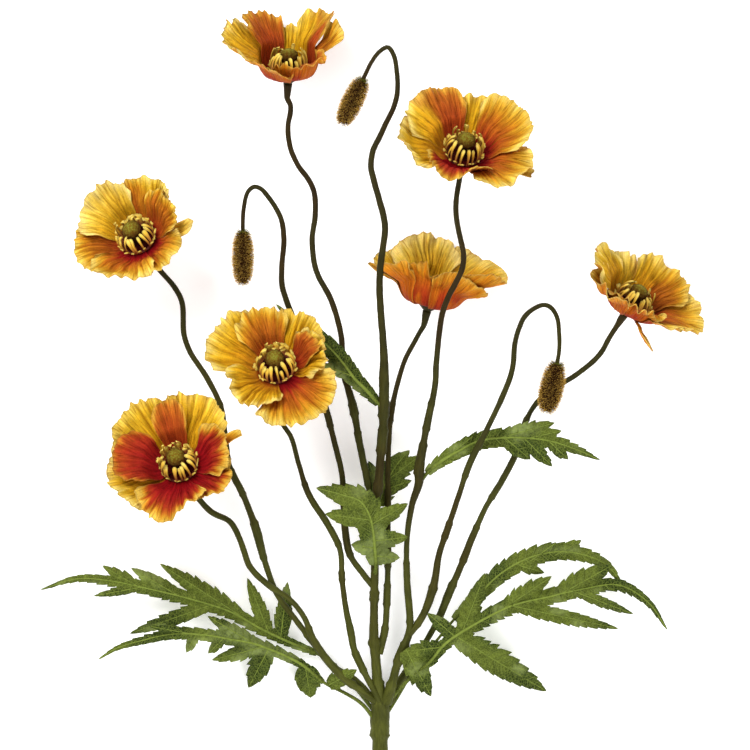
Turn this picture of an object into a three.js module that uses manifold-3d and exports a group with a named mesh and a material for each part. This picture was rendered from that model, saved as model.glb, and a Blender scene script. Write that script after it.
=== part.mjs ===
// Spray of seven Iceland poppies with three nodding buds, lying on its back.
// Millimetres, +Z up towards the viewer, +Y from the cut end to the blooms, +X to the right.
import * as THREE from 'three';
import { mergeVertices } from 'three/addons/utils/BufferGeometryUtils.js';
import Module from 'manifold-3d';

const wasm = await Module();
wasm.setup();

// Driving dimensions
const MM_PER_PIXEL = 0.75;      // scale of the photograph, in whose pixels the routes are given
const AXIS_PIXEL = 378;         // photograph column that becomes x = 0
const FOOT_PIXEL = 750;         // photograph row that becomes y = 0
const BLADE = 0.7;              // thickness of a petal
const LEAF_BLADE = 0.9;         // thickness of a leaf, straight down
const GAP = 0.3;                // clearance between neighbouring pieces
const CUT = 0.4;                // how much wider the way cut for a stem is than its radius
const REST = 0.02;              // clearance under petals and leaves that lie on the surface
const STEM_SIDES = 5;
const MAIN_SIDES = 8;
const FLOOR_RADIUS = 14.5;        // flat middle of each bloom, where the petals start to rise
const RISE = 16;                // length over which a petal turns up to its lift
const LIFT_SPREAD = 32;         // degrees over which one petal's lift passes into the next one's
const PETAL_ROOT = 7;           // a petal starts this far from the bloom's axis
const LAYER = 0.75;             // height of the inner petals over the outer ones
const LAYER_LIFT = 5;           // degrees that the inner petals lift more than the outer ones
const RUFFLE = 2.6;             // height of a petal's waves at the rim
const RUFFLES = 5;              // waves round a bloom
const RIM_ROUNDING = 0.2;       // share of its length by which a petal's corners are drawn in
const FLAP_ROUNDING = 0.3;
const ROOT_WIDTH = 0.88;        // share of its span that a petal has at its root
const RECEPTACLE_TOP = 1.2;
const RECEPTACLE_BOTTOM = -6;
const RECEPTACLE_PROFILE = [[2.6, RECEPTACLE_BOTTOM], [9, -0.5], [9, RECEPTACLE_TOP]];
// Collar of a bloom's stem: distance below the receptacle, and radius
const COLLAR = [[0, 3.4], [5, 2.9], [12, 2.1]];
const RING_RADIUS = 12.3;       // ring that the filaments stand on
const RING_WIDTH = 2.4;
const RING_HEIGHT = 1.2;
const FILAMENTS = 10;
const FILAMENT_HEIGHT = 17;
const FILAMENT_HALF = 0.95;
// A filament's middle line: distance out from the ring, and share of the height
const FILAMENT_SPINE = [[0, 0], [1.2, 0.6], [-3.4, 1]];
const CAPSULE_RADIUS = 7;
const CAPSULE_HEIGHT = 19;
const CAPSULE_RIBS = 0.08;
// Profiles of capsule and bud: shares of the radius and of the height
const CAPSULE_PROFILE = [[0.5, 0], [0.7, 0.5], [1, 0.74], [0.92, 0.88], [0.5, 1]];
const BUD_PROFILE = [[0.22, 0], [0.62, 0.06], [0.9, 0.24], [1, 0.48], [0.86, 0.76], [0.5, 0.95], [0.15, 1]];
const TURNED_SIDES = 10;
const NARROW = 20;              // a petal that spans less than this half angle is a folded flap
// Stalk of a leaf: share of the rib's length, and radius
const STALK = [[0, 1.9], [0.1, 1.7], [0.25, 1.4], [0.4, 1.1], [0.55, 0.8]];
const RIB_STEP = 24;            // length of the steps in a leaf's outline along its rib
const LOBE_STEPS = 3;
const LOBE_BOW = 0.06;          // rise of a lobe's middle, as a share of its length
const LEAF_FALL = 0.2;          // slope at which a leaf's blade falls away from its ribs
const LEAST_HALF = 0.35;        // half width of a leaf at its tips

const COLOURS = {
  petals: 0xe39a1e, stamens: 0xe8b93c, capsule: 0x6f7a33, stem: 0x4b4a1e, bud: 0x6b5320, leaf: 0x5c7f33,
};

// Photograph column and row, and height above the surface, to a point of the part
const place = (column, row, height) =>
  new THREE.Vector3((column - AXIS_PIXEL) * MM_PER_PIXEL, (FOOT_PIXEL - row) * MM_PER_PIXEL, height);

const radians = (degrees) => degrees * Math.PI / 180;
const mix = (a, b, share) => a + (b - a) * share;
const ease = (x) => {
  const c = Math.min(1, Math.max(0, x));
  return c * c * (3 - 2 * c);
};

// Solids

function geometryOf(corners, triangles) {
  const geometry = new THREE.BufferGeometry();
  const numbers = corners.flatMap((p) => [p.x, p.y, p.z]);
  geometry.setAttribute('position', new THREE.Float32BufferAttribute(numbers, 3));
  geometry.setIndex(triangles.flat());
  return geometry;
}

function solidOf(geometry) {
  const plain = geometry.clone();
  plain.deleteAttribute('normal');
  plain.deleteAttribute('uv');
  const merged = mergeVertices(plain, 1e-5);
  const solid = new wasm.Manifold(new wasm.Mesh({
    numProp: 3,
    vertProperties: new Float32Array(merged.attributes.position.array),
    triVerts: new Uint32Array(merged.index.array),
  }));
  return solid;
}

// The largest shell of a solid: the scraps that a cut leaves are dropped, and sealed hollows are filled
function largest(solid) {
  return solid.decompose().reduce((best, next) => (next.volume() > best.volume() ? next : best));
}

function fuse(solids) {
  return largest(solids.reduce((whole, next) => whole.add(next)));
}

// Closed skin through rings of equally many points, with a fan over each end
function loft(rings) {
  const count = rings[0].length;
  const corners = rings.flat();
  const triangles = [];
  for (let i = 0; i + 1 < rings.length; i += 1) {
    for (let j = 0; j < count; j += 1) {
      const a = i * count + j;
      const b = i * count + ((j + 1) % count);
      triangles.push([a, b, b + count], [a, b + count, a + count]);
    }
  }
  const last = (rings.length - 1) * count;
  const middle = (ring) => ring.reduce((sum, p) => sum.add(p), new THREE.Vector3()).divideScalar(count);
  const low = corners.push(middle(rings[0])) - 1;
  const high = corners.push(middle(rings[rings.length - 1])) - 1;
  for (let j = 0; j < count; j += 1) {
    const next = (j + 1) % count;
    triangles.push([low, next, j], [high, last + j, last + next]);
  }
  return geometryOf(corners, triangles);
}

// Blade of even thickness on a grid of points, with both faces split into triangles alike
function blade(grid) {
  const rows = grid.length;
  const columns = grid[0].length;
  const at = (i, j) => grid[Math.min(rows - 1, Math.max(0, i))][Math.min(columns - 1, Math.max(0, j))];
  const upper = [];
  const lower = [];
  for (let i = 0; i < rows; i += 1) {
    for (let j = 0; j < columns; j += 1) {
      const along = at(i + 1, j).clone().sub(at(i - 1, j));
      const across = at(i, j + 1).clone().sub(at(i, j - 1));
      const normal = along.cross(across).normalize().multiplyScalar(BLADE / 2);
      upper.push(at(i, j).clone().add(normal));
      lower.push(at(i, j).clone().sub(normal));
    }
  }
  const corners = [...upper, ...lower];
  const shift = upper.length;
  const triangles = [];
  const index = (i, j) => i * columns + j;
  for (let i = 0; i + 1 < rows; i += 1) {
    for (let j = 0; j + 1 < columns; j += 1) {
      const [a, b, c, d] = [index(i, j), index(i + 1, j), index(i + 1, j + 1), index(i, j + 1)];
      triangles.push([a, b, c], [a, c, d]);
      triangles.push([a + shift, c + shift, b + shift], [a + shift, d + shift, c + shift]);
    }
  }
  const edge = (a, b) => triangles.push([b, a, a + shift], [b, a + shift, b + shift]);
  for (let i = 0; i + 1 < rows; i += 1) {
    edge(index(i, 0), index(i + 1, 0));
    edge(index(i + 1, columns - 1), index(i, columns - 1));
  }
  for (let j = 0; j + 1 < columns; j += 1) {
    edge(index(0, j + 1), index(0, j));
    edge(index(rows - 1, j), index(rows - 1, j + 1));
  }
  return geometryOf(corners, triangles);
}

// Tube along a smooth route, with one ring of corners at each route point
function tube(points, radii, sides, grow = 0) {
  const route = new THREE.CatmullRomCurve3(points, false, 'centripetal');
  const last = points.length - 1;
  let side = new THREE.Vector3(0, 0, 1);
  const rings = points.map((centre, i) => {
    const along = route.getTangent(i / last);
    side = side.clone().addScaledVector(along, -side.dot(along)).normalize();
    const other = along.clone().cross(side);
    const radius = radii[i] + grow;
    const ring = [];
    for (let j = 0; j < sides; j += 1) {
      const angle = 2 * Math.PI * (j + 0.5) / sides;
      ring.push(centre.clone()
        .addScaledVector(side, radius * Math.cos(angle))
        .addScaledVector(other, radius * Math.sin(angle)));
    }
    return ring;
  });
  return loft(rings);
}

// Body of revolution about a direction, from a profile of [radius, height] pairs
function turned(profile, sides, frame, ribs = 0) {
  return loft(profile.map(([radius, height]) => {
    const ring = [];
    for (let j = 0; j < sides; j += 1) {
      const r = radius * (1 + (j % 2 ? -ribs : 0));
      ring.push(frame(r, 2 * Math.PI * j / sides, height));
    }
    return ring;
  }));
}

// Blooms: the receptacle's photograph column and row and its height, the direction it faces, and its petals.
// A petal has an azimuth, 0 to the right and 90 to the back, its length, the angle that it lifts, half the
// angle that it spans, and its layer, 1 inner, 0 outer and -1 behind. phase turns the bloom's ruffle. The
// angles are in degrees.
const BLOOMS = [
  {
    centre: [288, 75, 33], phase: 20, facing: [0.04, 0.93, 0.36],
    petals: [
      [180, 61, 36, 40, 0], [133, 57, 37, 36, 1], [90, 47, 26, 42, 0], [46, 59, 41, 34, 1],
      [12, 54, 40, 21, 0], [300, 37, 22, 50, 1], [235, 43, 20, 44, 0],
    ],
  },
  {
    centre: [463, 157, 78], phase: 120, facing: [0.11, 0.69, 0.71],
    petals: [
      [185, 54, 14, 42, 0], [132, 56, 20, 44, 1], [80, 50, 22, 42, 0], [28, 56, 16, 44, 1],
      [322, 55, 16, 42, 0], [256, 43, 16, 56, 1], [341, 55, 5, 8, -1],
    ],
  },
  {
    centre: [140, 241, 58], phase: 250, facing: [-0.35, 0.50, 0.79],
    petals: [
      [180, 49, 14, 42, 0], [133, 51, 20, 44, 1], [72, 48, 25, 42, 0], [30, 42, 17, 42, 1],
      [315, 44, 15, 42, 0], [252, 47, 9, 50, 1], [0, 47, 6, 11, -1],
    ],
  },
  {
    centre: [429, 303, 27], phase: 60, facing: [0.22, 0.94, 0.26],
    petals: [
      [112, 54, 50, 60, 1], [40, 58, 41, 42, 0], [346, 62, 20, 42, 1], [308, 51, 38, 46, 0],
      [246, 43, 43, 44, 1], [187, 54, 26, 44, 0], [178, 55, 25, 9, -1],
    ],
  },
  {
    centre: [629, 308, 35], phase: 300, facing: [0.48, 0.75, 0.45],
    petals: [
      [165, 52, 27, 42, 1], [110, 46, 27, 40, 0], [54, 52, 19, 46, 1], [342, 57, 19, 50, 0],
      [262, 42, 23, 58, 1], [212, 48, 19, 42, 0], [298, 46, -5, 6, -1],
    ],
  },
  {
    centre: [277.5, 370, 72], phase: 200, facing: [-0.10, 0.53, 0.84],
    petals: [
      [148, 56, 13, 42, 0], [108, 49, 14, 36, 1], [62, 47, 18, 42, 0], [12, 41, 12, 42, 1],
      [300, 57, 8, 50, 0], [230, 43, 8, 52, 1],
    ],
  },
  {
    centre: [181, 468, 63], phase: 90, facing: [-0.20, 0.53, 0.82],
    petals: [
      [188, 54, 11, 52, 0], [130, 59, 14, 40, 1], [74, 57, 18, 42, 0], [12, 43, 14, 42, 1],
      [325, 45, 10, 40, 0], [262, 50, 5, 46, 1], [24, 53, 9, 6, -1],
    ],
  },
];

// Stem routes from the top down: photograph column and row, height, and radius
const MAIN_ROUTE = [
  [363, 80, 57.5, 1.6], [372, 62, 59, 1.6], [380, 52, 60, 1.7], [388, 48, 61, 1.8], [394, 57, 62, 1.8],
  [397, 75, 63, 1.9], [397, 95, 65, 2], [393, 110, 66, 2], [387, 122, 67, 2.1], [380, 137, 68, 2.2],
  [373, 152, 69, 2.3], [371, 168, 70, 2.4], [374, 182, 72, 2.4], [379, 200, 74, 2.4], [383, 215, 75, 2.5],
  [385, 228, 76, 2.5], [383, 248, 77, 2.5], [380, 270, 76, 2.6], [380, 300, 72, 2.7], [383, 340, 64, 2.8],
  [384, 360, 60, 3.2], [384, 378, 57, 4], [384, 400, 54, 4], [383, 430, 50, 3.5], [380, 465, 45, 3.5],
  [376, 510, 39, 3.3], [375, 560, 33, 3.3], [374, 610, 27, 3.3], [374, 640, 22, 4.2], [376, 665, 18, 4],
  [378, 688, 13, 4.6], [380, 706, 8.5, 6], [380, 718, 6.5, 6.5],
];
// Base stem, worn flat where it lies on the surface, with its cut end below the photograph's edge
const BASE_ROUTE = [[380, 732, 5.9, 6.5], [380, 760, 5.9, 6.5], [380, 790, 5.9, 6.5], [380, 810, 5.9, 6.5]];

const STEM_ROUTES = {
  bloom_2_stem: [
    [456, 200, 64, 2.1], [456, 217, 68, 2.1], [460, 240, 78, 2.1], [463, 255, 82, 2.1], [462, 268, 83, 2.1],
    [456, 282, 82, 2.2], [449, 295, 81, 2.2], [443, 310, 79, 2.2], [440, 325, 76, 2.2], [436, 365, 66, 2.3],
    [435, 385, 62, 2.4], [430, 410, 58, 2.5], [424, 440, 53, 2.8], [419, 470, 48, 3.5], [419, 482, 46, 3.6],
    [412, 505, 43, 2.6], [407, 540, 38, 2.3], [407, 580, 33, 2.3], [410, 620, 28, 2.5], [409, 634, 26, 3.2],
    [399, 660, 23, 3.4], [392, 685, 19, 3.6], [386, 705, 13, 3.8],
  ],
  bloom_5_stem: [
    [610, 338, 24, 2], [600, 355, 23, 2.1], [578, 374, 22, 2.1], [562, 384, 22, 2.1], [540, 400, 22, 2.1],
    [527, 420, 22, 2.1], [518, 450, 23, 2.2], [503, 480, 24, 2.2], [486, 508, 25, 2.3], [473, 537, 25, 2.4],
    [461, 567, 24, 2.8], [450, 592, 22, 2.9], [440, 617, 19, 2.6], [425, 645, 15, 2.4], [410, 668, 11, 2.4],
    [396, 690, 8, 2.8], [388, 706, 7, 3],
  ],
  bloom_1_stem: [
    [290, 104, 25, 2], [290, 113, 25, 2], [288, 122, 24, 2], [288, 135, 24, 2], [291, 150, 23, 2],
    [298, 165, 23, 2], [309, 180, 23, 2.1], [314, 192, 24, 2.1], [315, 215, 25, 2.1], [312, 240, 27, 2.1],
    [316, 270, 29, 2.2], [331, 300, 32, 2.2], [341, 335, 34, 2.2], [343, 370, 36, 2.3], [350, 395, 37, 2.8],
    [354, 412, 38, 3.1], [359, 440, 38, 2.4], [367, 480, 38, 2.3], [372, 505, 38, 2.3], [376, 520, 38, 2.3],
  ],
  bloom_3_stem: [
    [158, 268, 42, 2], [175, 288, 41, 2.1], [182, 303, 41, 2.1], [184, 335, 41, 2.1], [190, 352, 41, 2.1],
    [207, 378, 42, 2.2], [220, 405, 43, 2.2], [224, 430, 43, 2.2], [229, 465, 42, 2.3], [243, 495, 40, 2.4],
    [256, 530, 36, 3.1], [264, 560, 33, 2.5], [277, 595, 29, 2.4], [295, 620, 24, 2.4], [318, 650, 18, 2.4],
    [333, 668, 15, 2.8], [355, 682, 12, 2.9], [372, 700, 10, 2.9],
  ],
  bloom_7_stem: [
    [210, 511, 42, 2], [230, 522, 41, 2], [240, 540, 41, 2], [250, 567, 40, 2.1], [268, 585, 38, 2.1],
    [290, 600, 35, 2.2], [304, 618, 32, 2.3], [313, 640, 28, 2.4], [328, 662, 24, 2.6], [345, 680, 20, 2.9],
    [362, 693, 17, 2.9], [376, 704, 12, 2.9],
  ],
  bloom_6_stem: [
    [281, 420, 47, 2], [291, 437, 46, 2], [299, 465, 44, 2.1], [309, 495, 42, 2.2], [328, 525, 40, 2.3],
    [340, 550, 38, 2.3], [342, 580, 35, 2.3], [346, 610, 31, 2.5], [351, 634, 27, 3.3], [354, 650, 25, 2.8],
    [364, 673, 22, 2.5], [374, 692, 17, 2.7], [380, 704, 13, 2.7],
  ],
  bloom_4_stem: [
    [420, 332, 22.5, 1.9], [414, 343, 24, 1.9], [405, 360, 27, 1.9], [396, 390, 30, 2], [391, 415, 32, 2.1],
    [389, 440, 33, 2.2], [388, 470, 33, 2.2], [388, 510, 30, 2.2], [388, 560, 25, 2.3], [387, 600, 21, 2.5],
    [385, 630, 19, 2.6], [379, 655, 18, 2.6],
  ],
  bud_2_stem: [
    [243, 231, 50, 1.6], [243, 220, 50, 1.6], [244, 207, 50, 1.7], [248, 192, 50, 1.7], [254, 187, 50, 1.8],
    [261, 189, 50, 1.8], [269, 198, 50, 1.9], [277, 210, 50, 2], [282, 222, 50, 2], [284, 240, 49, 2.1],
    [282, 265, 48, 2.1], [282, 285, 47, 2.2], [287, 302, 46, 2.2], [300, 335, 44, 2.2], [314, 375, 43, 2.3],
    [326, 410, 41, 2.3], [335, 445, 39, 2.4], [342, 475, 37, 2.4], [344, 520, 34, 2.4], [350, 555, 31, 2.5],
    [362, 573, 30, 2.6], [374, 588, 29, 2.6],
  ],
  bud_3_stem: [
    [557, 363, 50, 1.6], [559, 350, 51, 1.6], [559, 335, 52, 1.7], [557, 318, 53, 1.7], [551, 308, 54, 1.8],
    [544, 305, 54, 1.8], [535, 308, 54, 1.8], [525, 316, 54, 1.9], [519, 328, 54, 1.9], [515, 342, 54, 2],
    [512, 370, 53, 2.1], [503, 395, 52, 2.2], [484, 435, 50, 2.3], [469, 465, 47, 2.3], [459, 495, 45, 2.3],
    [449, 525, 42, 2.4], [439, 555, 39, 2.6], [434, 585, 35, 3.2], [425, 612, 30, 2.5], [417, 626, 28, 2.5],
    [409, 636, 27, 2.5],
  ],
};

// Buds: the route that each hangs from, column, row and height of its tip, and its largest radius
const BUDS = {
  bud_1: { route: MAIN_ROUTE, tip: [341, 126, 52], radius: 8.2 },
  bud_2: { route: STEM_ROUTES.bud_2_stem, tip: [243, 286, 47], radius: 8.2 },
  bud_3: { route: STEM_ROUTES.bud_3_stem, tip: [546, 414, 47], radius: 9.2 },
};

// Leaves: the rib's route from its root on the stem to the tip, the blade's largest half width in pixels, the
// route point where the blade starts, and lobes. A lobe has its root, its tip and half its width in pixels.
const LEAVES = {
  leaf_left_upper: {
    rib: [
      [376, 716, 5], [362, 698, 4.5], [345, 678, 5], [325, 660, 7], [285, 642, 10], [260, 630, 12],
      [230, 613, 17], [190, 600, 21], [150, 590, 23], [110, 582, 17], [75, 580, 9], [39, 591, 0.5],
    ],
    start: 0.22, width: 7,
    lobes: [
      [[140, 589, 22], [102, 567, 20], 6], [[180, 598, 22], [131, 569, 25], 7],
      [[240, 617, 16], [160, 565, 24], 9], [[268, 634, 11], [247, 580, 15], 7],
      [[280, 640, 10], [287, 584, 14], 8], [[140, 588, 22], [93, 597, 14], 4],
      [[210, 606, 19], [129, 635, 8], 7],
    ],
  },
  leaf_left_lower: {
    rib: [
      [375, 722, 9], [362, 706, 8.5], [345, 695, 10], [325, 685, 12], [300, 665, 17], [255, 645, 27],
      [230, 640, 30], [200, 635, 31], [170, 635, 27], [140, 642, 18], [115, 650, 8], [97, 661, 0.5],
    ],
    start: 0.2, width: 6,
    lobes: [
      [[205, 637, 31], [150, 627, 31], 5], [[258, 647, 27], [208, 617, 33], 7],
      [[195, 636, 30], [186, 653, 22], 5], [[222, 640, 30], [208, 654, 22], 5],
      [[262, 648, 26], [212, 661, 20], 7], [[268, 650, 25], [248, 689, 6], 10],
      [[305, 668, 16], [310, 699, 5], 12], [[328, 687, 13], [356, 671, 29], 8],
    ],
  },
  leaf_right: {
    rib: [
      [388, 704, 13], [398, 692, 16], [412, 678, 20], [430, 663, 25], [445, 645, 29], [480, 622, 34],
      [515, 605, 36], [550, 597, 35], [580, 590, 31], [620, 586, 22], [650, 604, 11], [669, 631, 0.5],
    ],
    start: 0.12, width: 8,
    lobes: [
      [[442, 648, 28], [404, 652, 32], 8], [[406, 650, 32], [431, 697, 17], 11],
      [[455, 637, 30], [428, 614, 34], 7], [[458, 638, 31], [547, 693, 2], 13],
      [[512, 606, 36], [619, 630, 8], 7], [[575, 592, 31], [634, 615, 13], 5],
      [[505, 608, 36], [551, 577, 42], 9], [[462, 634, 31], [485, 574, 40], 9],
      [[560, 595, 34], [612, 566, 33], 11],
    ],
  },
  leaf_right_arching: {
    rib: [
      [388, 714, 5.5], [398, 698, 5], [415, 670, 7], [437, 642, 13], [455, 620, 18], [475, 600, 23],
      [500, 575, 29], [530, 558, 33], [560, 552, 33], [590, 557, 29], [610, 568, 24], [624, 588, 17],
    ],
    start: 0.35, width: 9,
    lobes: [
      [[530, 562, 33], [556, 543, 36], 4], [[555, 556, 33], [581, 541, 34], 6],
      [[520, 566, 32], [544, 573, 30], 5],
    ],
  },
  leaf_right_middle: {
    rib: [
      [419, 484, 45], [428, 472, 46], [440, 462, 45], [460, 450, 43], [480, 441, 41], [500, 438, 40],
      [525, 438, 39], [550, 441, 37], [575, 449, 34], [600, 460, 29],
    ],
    start: 0.06, width: 9,
    lobes: [
      [[445, 459, 44], [473, 436, 44], 6], [[500, 438, 40], [554, 423, 41], 8],
      [[530, 438, 39], [561, 431, 40], 6], [[505, 438, 40], [530, 459, 34], 8],
      [[525, 439, 39], [552, 466, 32], 7], [[550, 442, 37], [568, 459, 32], 6],
    ],
  },
  leaf_behind: {
    rib: [[377, 515, 35], [380, 500, 30], [387, 482, 28], [396, 466, 27], [409, 451, 26]],
    start: 0.12, width: 13,
    lobes: [
      [[381, 498, 30], [369, 462, 27], 8], [[388, 480, 28], [420, 456, 26], 8],
      [[384, 490, 29], [411, 481, 26], 6],
    ],
  },
  leaf_front: {
    rib: [
      [375, 574, 33], [376, 566, 38], [375, 550, 44], [373, 530, 49], [369, 514, 53], [360, 501, 55],
      [340, 494, 54], [317, 488, 51],
    ],
    start: 0.08, width: 15,
    lobes: [
      [[371, 520, 52], [326, 514, 50], 9], [[372, 524, 51], [407, 504, 50], 8],
      [[374, 541, 46], [407, 537, 45], 8], [[375, 556, 42], [399, 558, 40], 7],
      [[374, 548, 44], [352, 545, 43], 8],
    ],
  },
  leaf_upper: {
    rib: [
      [384, 410, 54], [376, 401, 56], [366, 390, 56], [355, 379, 55], [343, 363, 53], [330, 348, 52],
      [312, 333, 51], [290, 318, 51], [277, 305, 51],
    ],
    start: 0.05, width: 9,
    lobes: [[[325, 343, 52], [225, 320, 54], 9], [[352, 376, 54], [322, 364, 53], 6]],
  },
};

// Petals, filaments and capsule

// Frame of a bloom: a point at a radius, an angle and a height over its receptacle
function bloomFrame({ centre, facing }) {
  const up = new THREE.Vector3(...facing).normalize();
  const right = new THREE.Vector3(1, 0, 0).addScaledVector(up, -up.x).normalize();
  const back = up.clone().cross(right);
  const origin = place(...centre);
  return (radius, angle, height) => origin.clone()
    .addScaledVector(right, radius * Math.cos(angle))
    .addScaledVector(back, radius * Math.sin(angle))
    .addScaledVector(up, height);
}

// Lift of a bloom's surface at an azimuth, in degrees, smoothly between the lifts of its broad petals
function liftAt(petals, azimuth) {
  const broad = petals.filter((petal) => petal[3] >= NARROW);
  let sum = 0;
  let weight = 0;
  for (const [middle, , lift] of broad) {
    const away = Math.abs(((azimuth - middle + 540) % 360) - 180);
    const pull = Math.exp(-((away / LIFT_SPREAD) ** 2));
    sum += pull * lift;
    weight += pull;
  }
  return sum / weight;
}

// Point of a petal's middle surface: s is below 0 at its root, 0 where the flat middle ends and 1 at the rim,
// and t runs from -1 to 1 across it
function petalPoint(frame, bloom, petal, s, t) {
  const [azimuth, length, lift, half, layer] = petal;
  const narrow = half < NARROW;
  const reach = length * (1 - (narrow ? FLAP_ROUNDING : RIM_ROUNDING) * Math.abs(t) ** 3);
  const run = s < 0 ? PETAL_ROOT : mix(FLOOR_RADIUS, reach, s);
  const bearing = azimuth + half * t * mix(ROOT_WIDTH, 1, Math.max(0, s));
  const level = narrow ? lift : liftAt(bloom.petals, bearing) + layer * LAYER_LIFT;
  const rise = radians(level) * ease((run - FLOOR_RADIUS) / RISE);
  const swell = narrow ? 0 : RUFFLE * ease((s - 0.2) / 0.8);
  const wave = swell * Math.sin(radians(RUFFLES * bearing + bloom.phase));
  const point = frame(
    run * Math.cos(rise) - wave * Math.sin(rise),
    radians(bearing),
    run * Math.sin(rise) + wave * Math.cos(rise) + layer * LAYER,
  );
  point.z = Math.max(point.z, BLADE / 2 + REST);
  return point;
}

function petals(bloom) {
  const frame = bloomFrame(bloom);
  const blades = bloom.petals.map((petal) => {
    const columns = petal[3] < NARROW ? 2 : 4;
    const steps = petal[3] < NARROW ? [-1, 0, 1] : [-1, 0, 0.33, 0.68, 1];
    const grid = steps.map((s) => {
      const row = [];
      for (let j = 0; j <= columns; j += 1) row.push(petalPoint(frame, bloom, petal, s, 2 * j / columns - 1));
      return row;
    });
    return solidOf(blade(grid));
  });
  return fuse([solidOf(turned(RECEPTACLE_PROFILE, MAIN_SIDES, frame)), ...blades]);
}

// One ring with the filaments that stand on it, each with its own height and lean
function stamens(bloom) {
  const frame = bloomFrame(bloom);
  const foot = RECEPTACLE_TOP + GAP;
  const section = [
    [RING_RADIUS - RING_WIDTH / 2, foot],
    [RING_RADIUS + RING_WIDTH / 2, foot],
    [RING_RADIUS, foot + RING_HEIGHT],
  ];
  const corners = [];
  const triangles = [];
  for (let i = 0; i < FILAMENTS; i += 1) {
    for (let j = 0; j < 3; j += 1) {
      corners.push(frame(section[j][0], 2 * Math.PI * i / FILAMENTS, section[j][1]));
      const next = (i + 1) % FILAMENTS;
      const [a, b] = [i * 3 + j, i * 3 + ((j + 1) % 3)];
      const [c, d] = [next * 3 + ((j + 1) % 3), next * 3 + j];
      triangles.push([a, c, b], [a, d, c]);
    }
  }
  const solids = [solidOf(geometryOf(corners, triangles))];
  for (let i = 0; i < FILAMENTS; i += 1) {
    const angle = 2 * Math.PI * (i + 0.5) / FILAMENTS;
    const lean = 0.75 + 0.25 * Math.sin(i * 2.4);
    const height = FILAMENT_HEIGHT * (0.85 + 0.15 * Math.sin(i * 3.7));
    const rings = FILAMENT_SPINE.map(([out, up]) => {
      const radius = RING_RADIUS + out * lean;
      const level = foot + GAP + height * up;
      const spread = FILAMENT_HALF / radius;
      const [inner, outer] = [radius - 0.5, radius + 0.35];
      const sides = [angle - spread, angle + spread].map((turn) => frame(outer, turn, level));
      return [frame(inner, angle, level), ...sides];
    });
    solids.push(solidOf(loft(rings)));
  }
  return fuse(solids);
}

function capsule(bloom) {
  const frame = bloomFrame(bloom);
  const foot = RECEPTACLE_TOP + GAP;
  const profile = CAPSULE_PROFILE.map(([r, h]) => [r * CAPSULE_RADIUS, foot + h * CAPSULE_HEIGHT]);
  return solidOf(turned(profile, TURNED_SIDES, frame, CAPSULE_RIBS));
}

// Stems and buds

function routeOf(rows) {
  const points = rows.map(([column, row, height]) => place(column, row, height));
  return { points, radii: rows.map(([, , , radius]) => radius) };
}

// Branch stem of a bloom: a collar under the receptacle, then the route
function bloomStemRoute(bloom, rows) {
  const frame = bloomFrame(bloom);
  const { points, radii } = routeOf(rows);
  points.unshift(...COLLAR.map(([below]) => frame(0, 0, RECEPTACLE_BOTTOM - GAP - below)));
  radii.unshift(...COLLAR.map(([, radius]) => radius));
  return { points, radii };
}

// Ovoid that hangs from the top end of its stem
function bud({ route, tip, radius }) {
  const end = place(...route[0].slice(0, 3));
  const up = place(...tip).sub(end).normalize();
  const from = end.clone().addScaledVector(up, 2 * GAP);
  const length = from.distanceTo(place(...tip));
  const side = new THREE.Vector3(0, 0, 1).addScaledVector(up, -up.z).normalize();
  const other = up.clone().cross(side);
  const frame = (r, angle, height) => from.clone()
    .addScaledVector(side, r * Math.cos(angle))
    .addScaledVector(other, r * Math.sin(angle))
    .addScaledVector(up, height);
  return solidOf(turned(BUD_PROFILE.map(([r, h]) => [r * radius, h * length]), TURNED_SIDES, frame));
}

// Leaves

// Middle line of a rib or lobe: its points, and its half width at each
function middleLine(points, from, half, steps, fullness) {
  const route = new THREE.CatmullRomCurve3(points, false, 'centripetal');
  const line = [];
  for (let i = 0; i <= steps; i += 1) {
    const share = mix(from, 1, i / steps);
    line.push({
      centre: route.getPointAt(share),
      along: route.getTangentAt(share),
      half: LEAST_HALF + half * Math.sin(Math.PI * mix(fullness, 1, i / steps)) ** 0.8,
    });
  }
  return line;
}

// Flat plate on the plan of a middle line
function plate(line) {
  const side = (sign) => line.map(({ centre, along, half }) => {
    const reach = sign * half / Math.hypot(along.x, along.y);
    return new THREE.Vector2(centre.x - reach * along.y, centre.y + reach * along.x);
  });
  const shape = new THREE.Shape([...side(-1), ...side(1).reverse()]);
  return solidOf(new THREE.ExtrudeGeometry(shape, { depth: 1, bevelEnabled: false }));
}

// Outlines of a flat plate's upper face, largest first
function outlines(solid) {
  const { vertProperties, triVerts } = solid.getMesh();
  const next = new Map();
  const sides = new Set();
  for (let i = 0; i < triVerts.length; i += 3) {
    const corners = [triVerts[i], triVerts[i + 1], triVerts[i + 2]];
    if (corners.every((c) => vertProperties[3 * c + 2] > 0.5)) {
      corners.forEach((c, k) => sides.add(`${c} ${corners[(k + 1) % 3]}`));
    }
  }
  for (const key of sides) {
    const [a, b] = key.split(' ');
    if (!sides.has(`${b} ${a}`)) next.set(a, b);
  }
  const loops = [];
  while (next.size > 0) {
    const loop = [];
    let corner = next.keys().next().value;
    while (next.has(corner)) {
      loop.push(new THREE.Vector2(vertProperties[3 * corner], vertProperties[3 * corner + 1]));
      const following = next.get(corner);
      next.delete(corner);
      corner = following;
    }
    loops.push(smoothLoop(loop));
  }
  const size = (loop) => Math.abs(THREE.ShapeUtils.area(loop));
  return loops.filter((loop) => loop.length > 2 && size(loop) > 4).sort((a, b) => size(b) - size(a));
}

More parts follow.
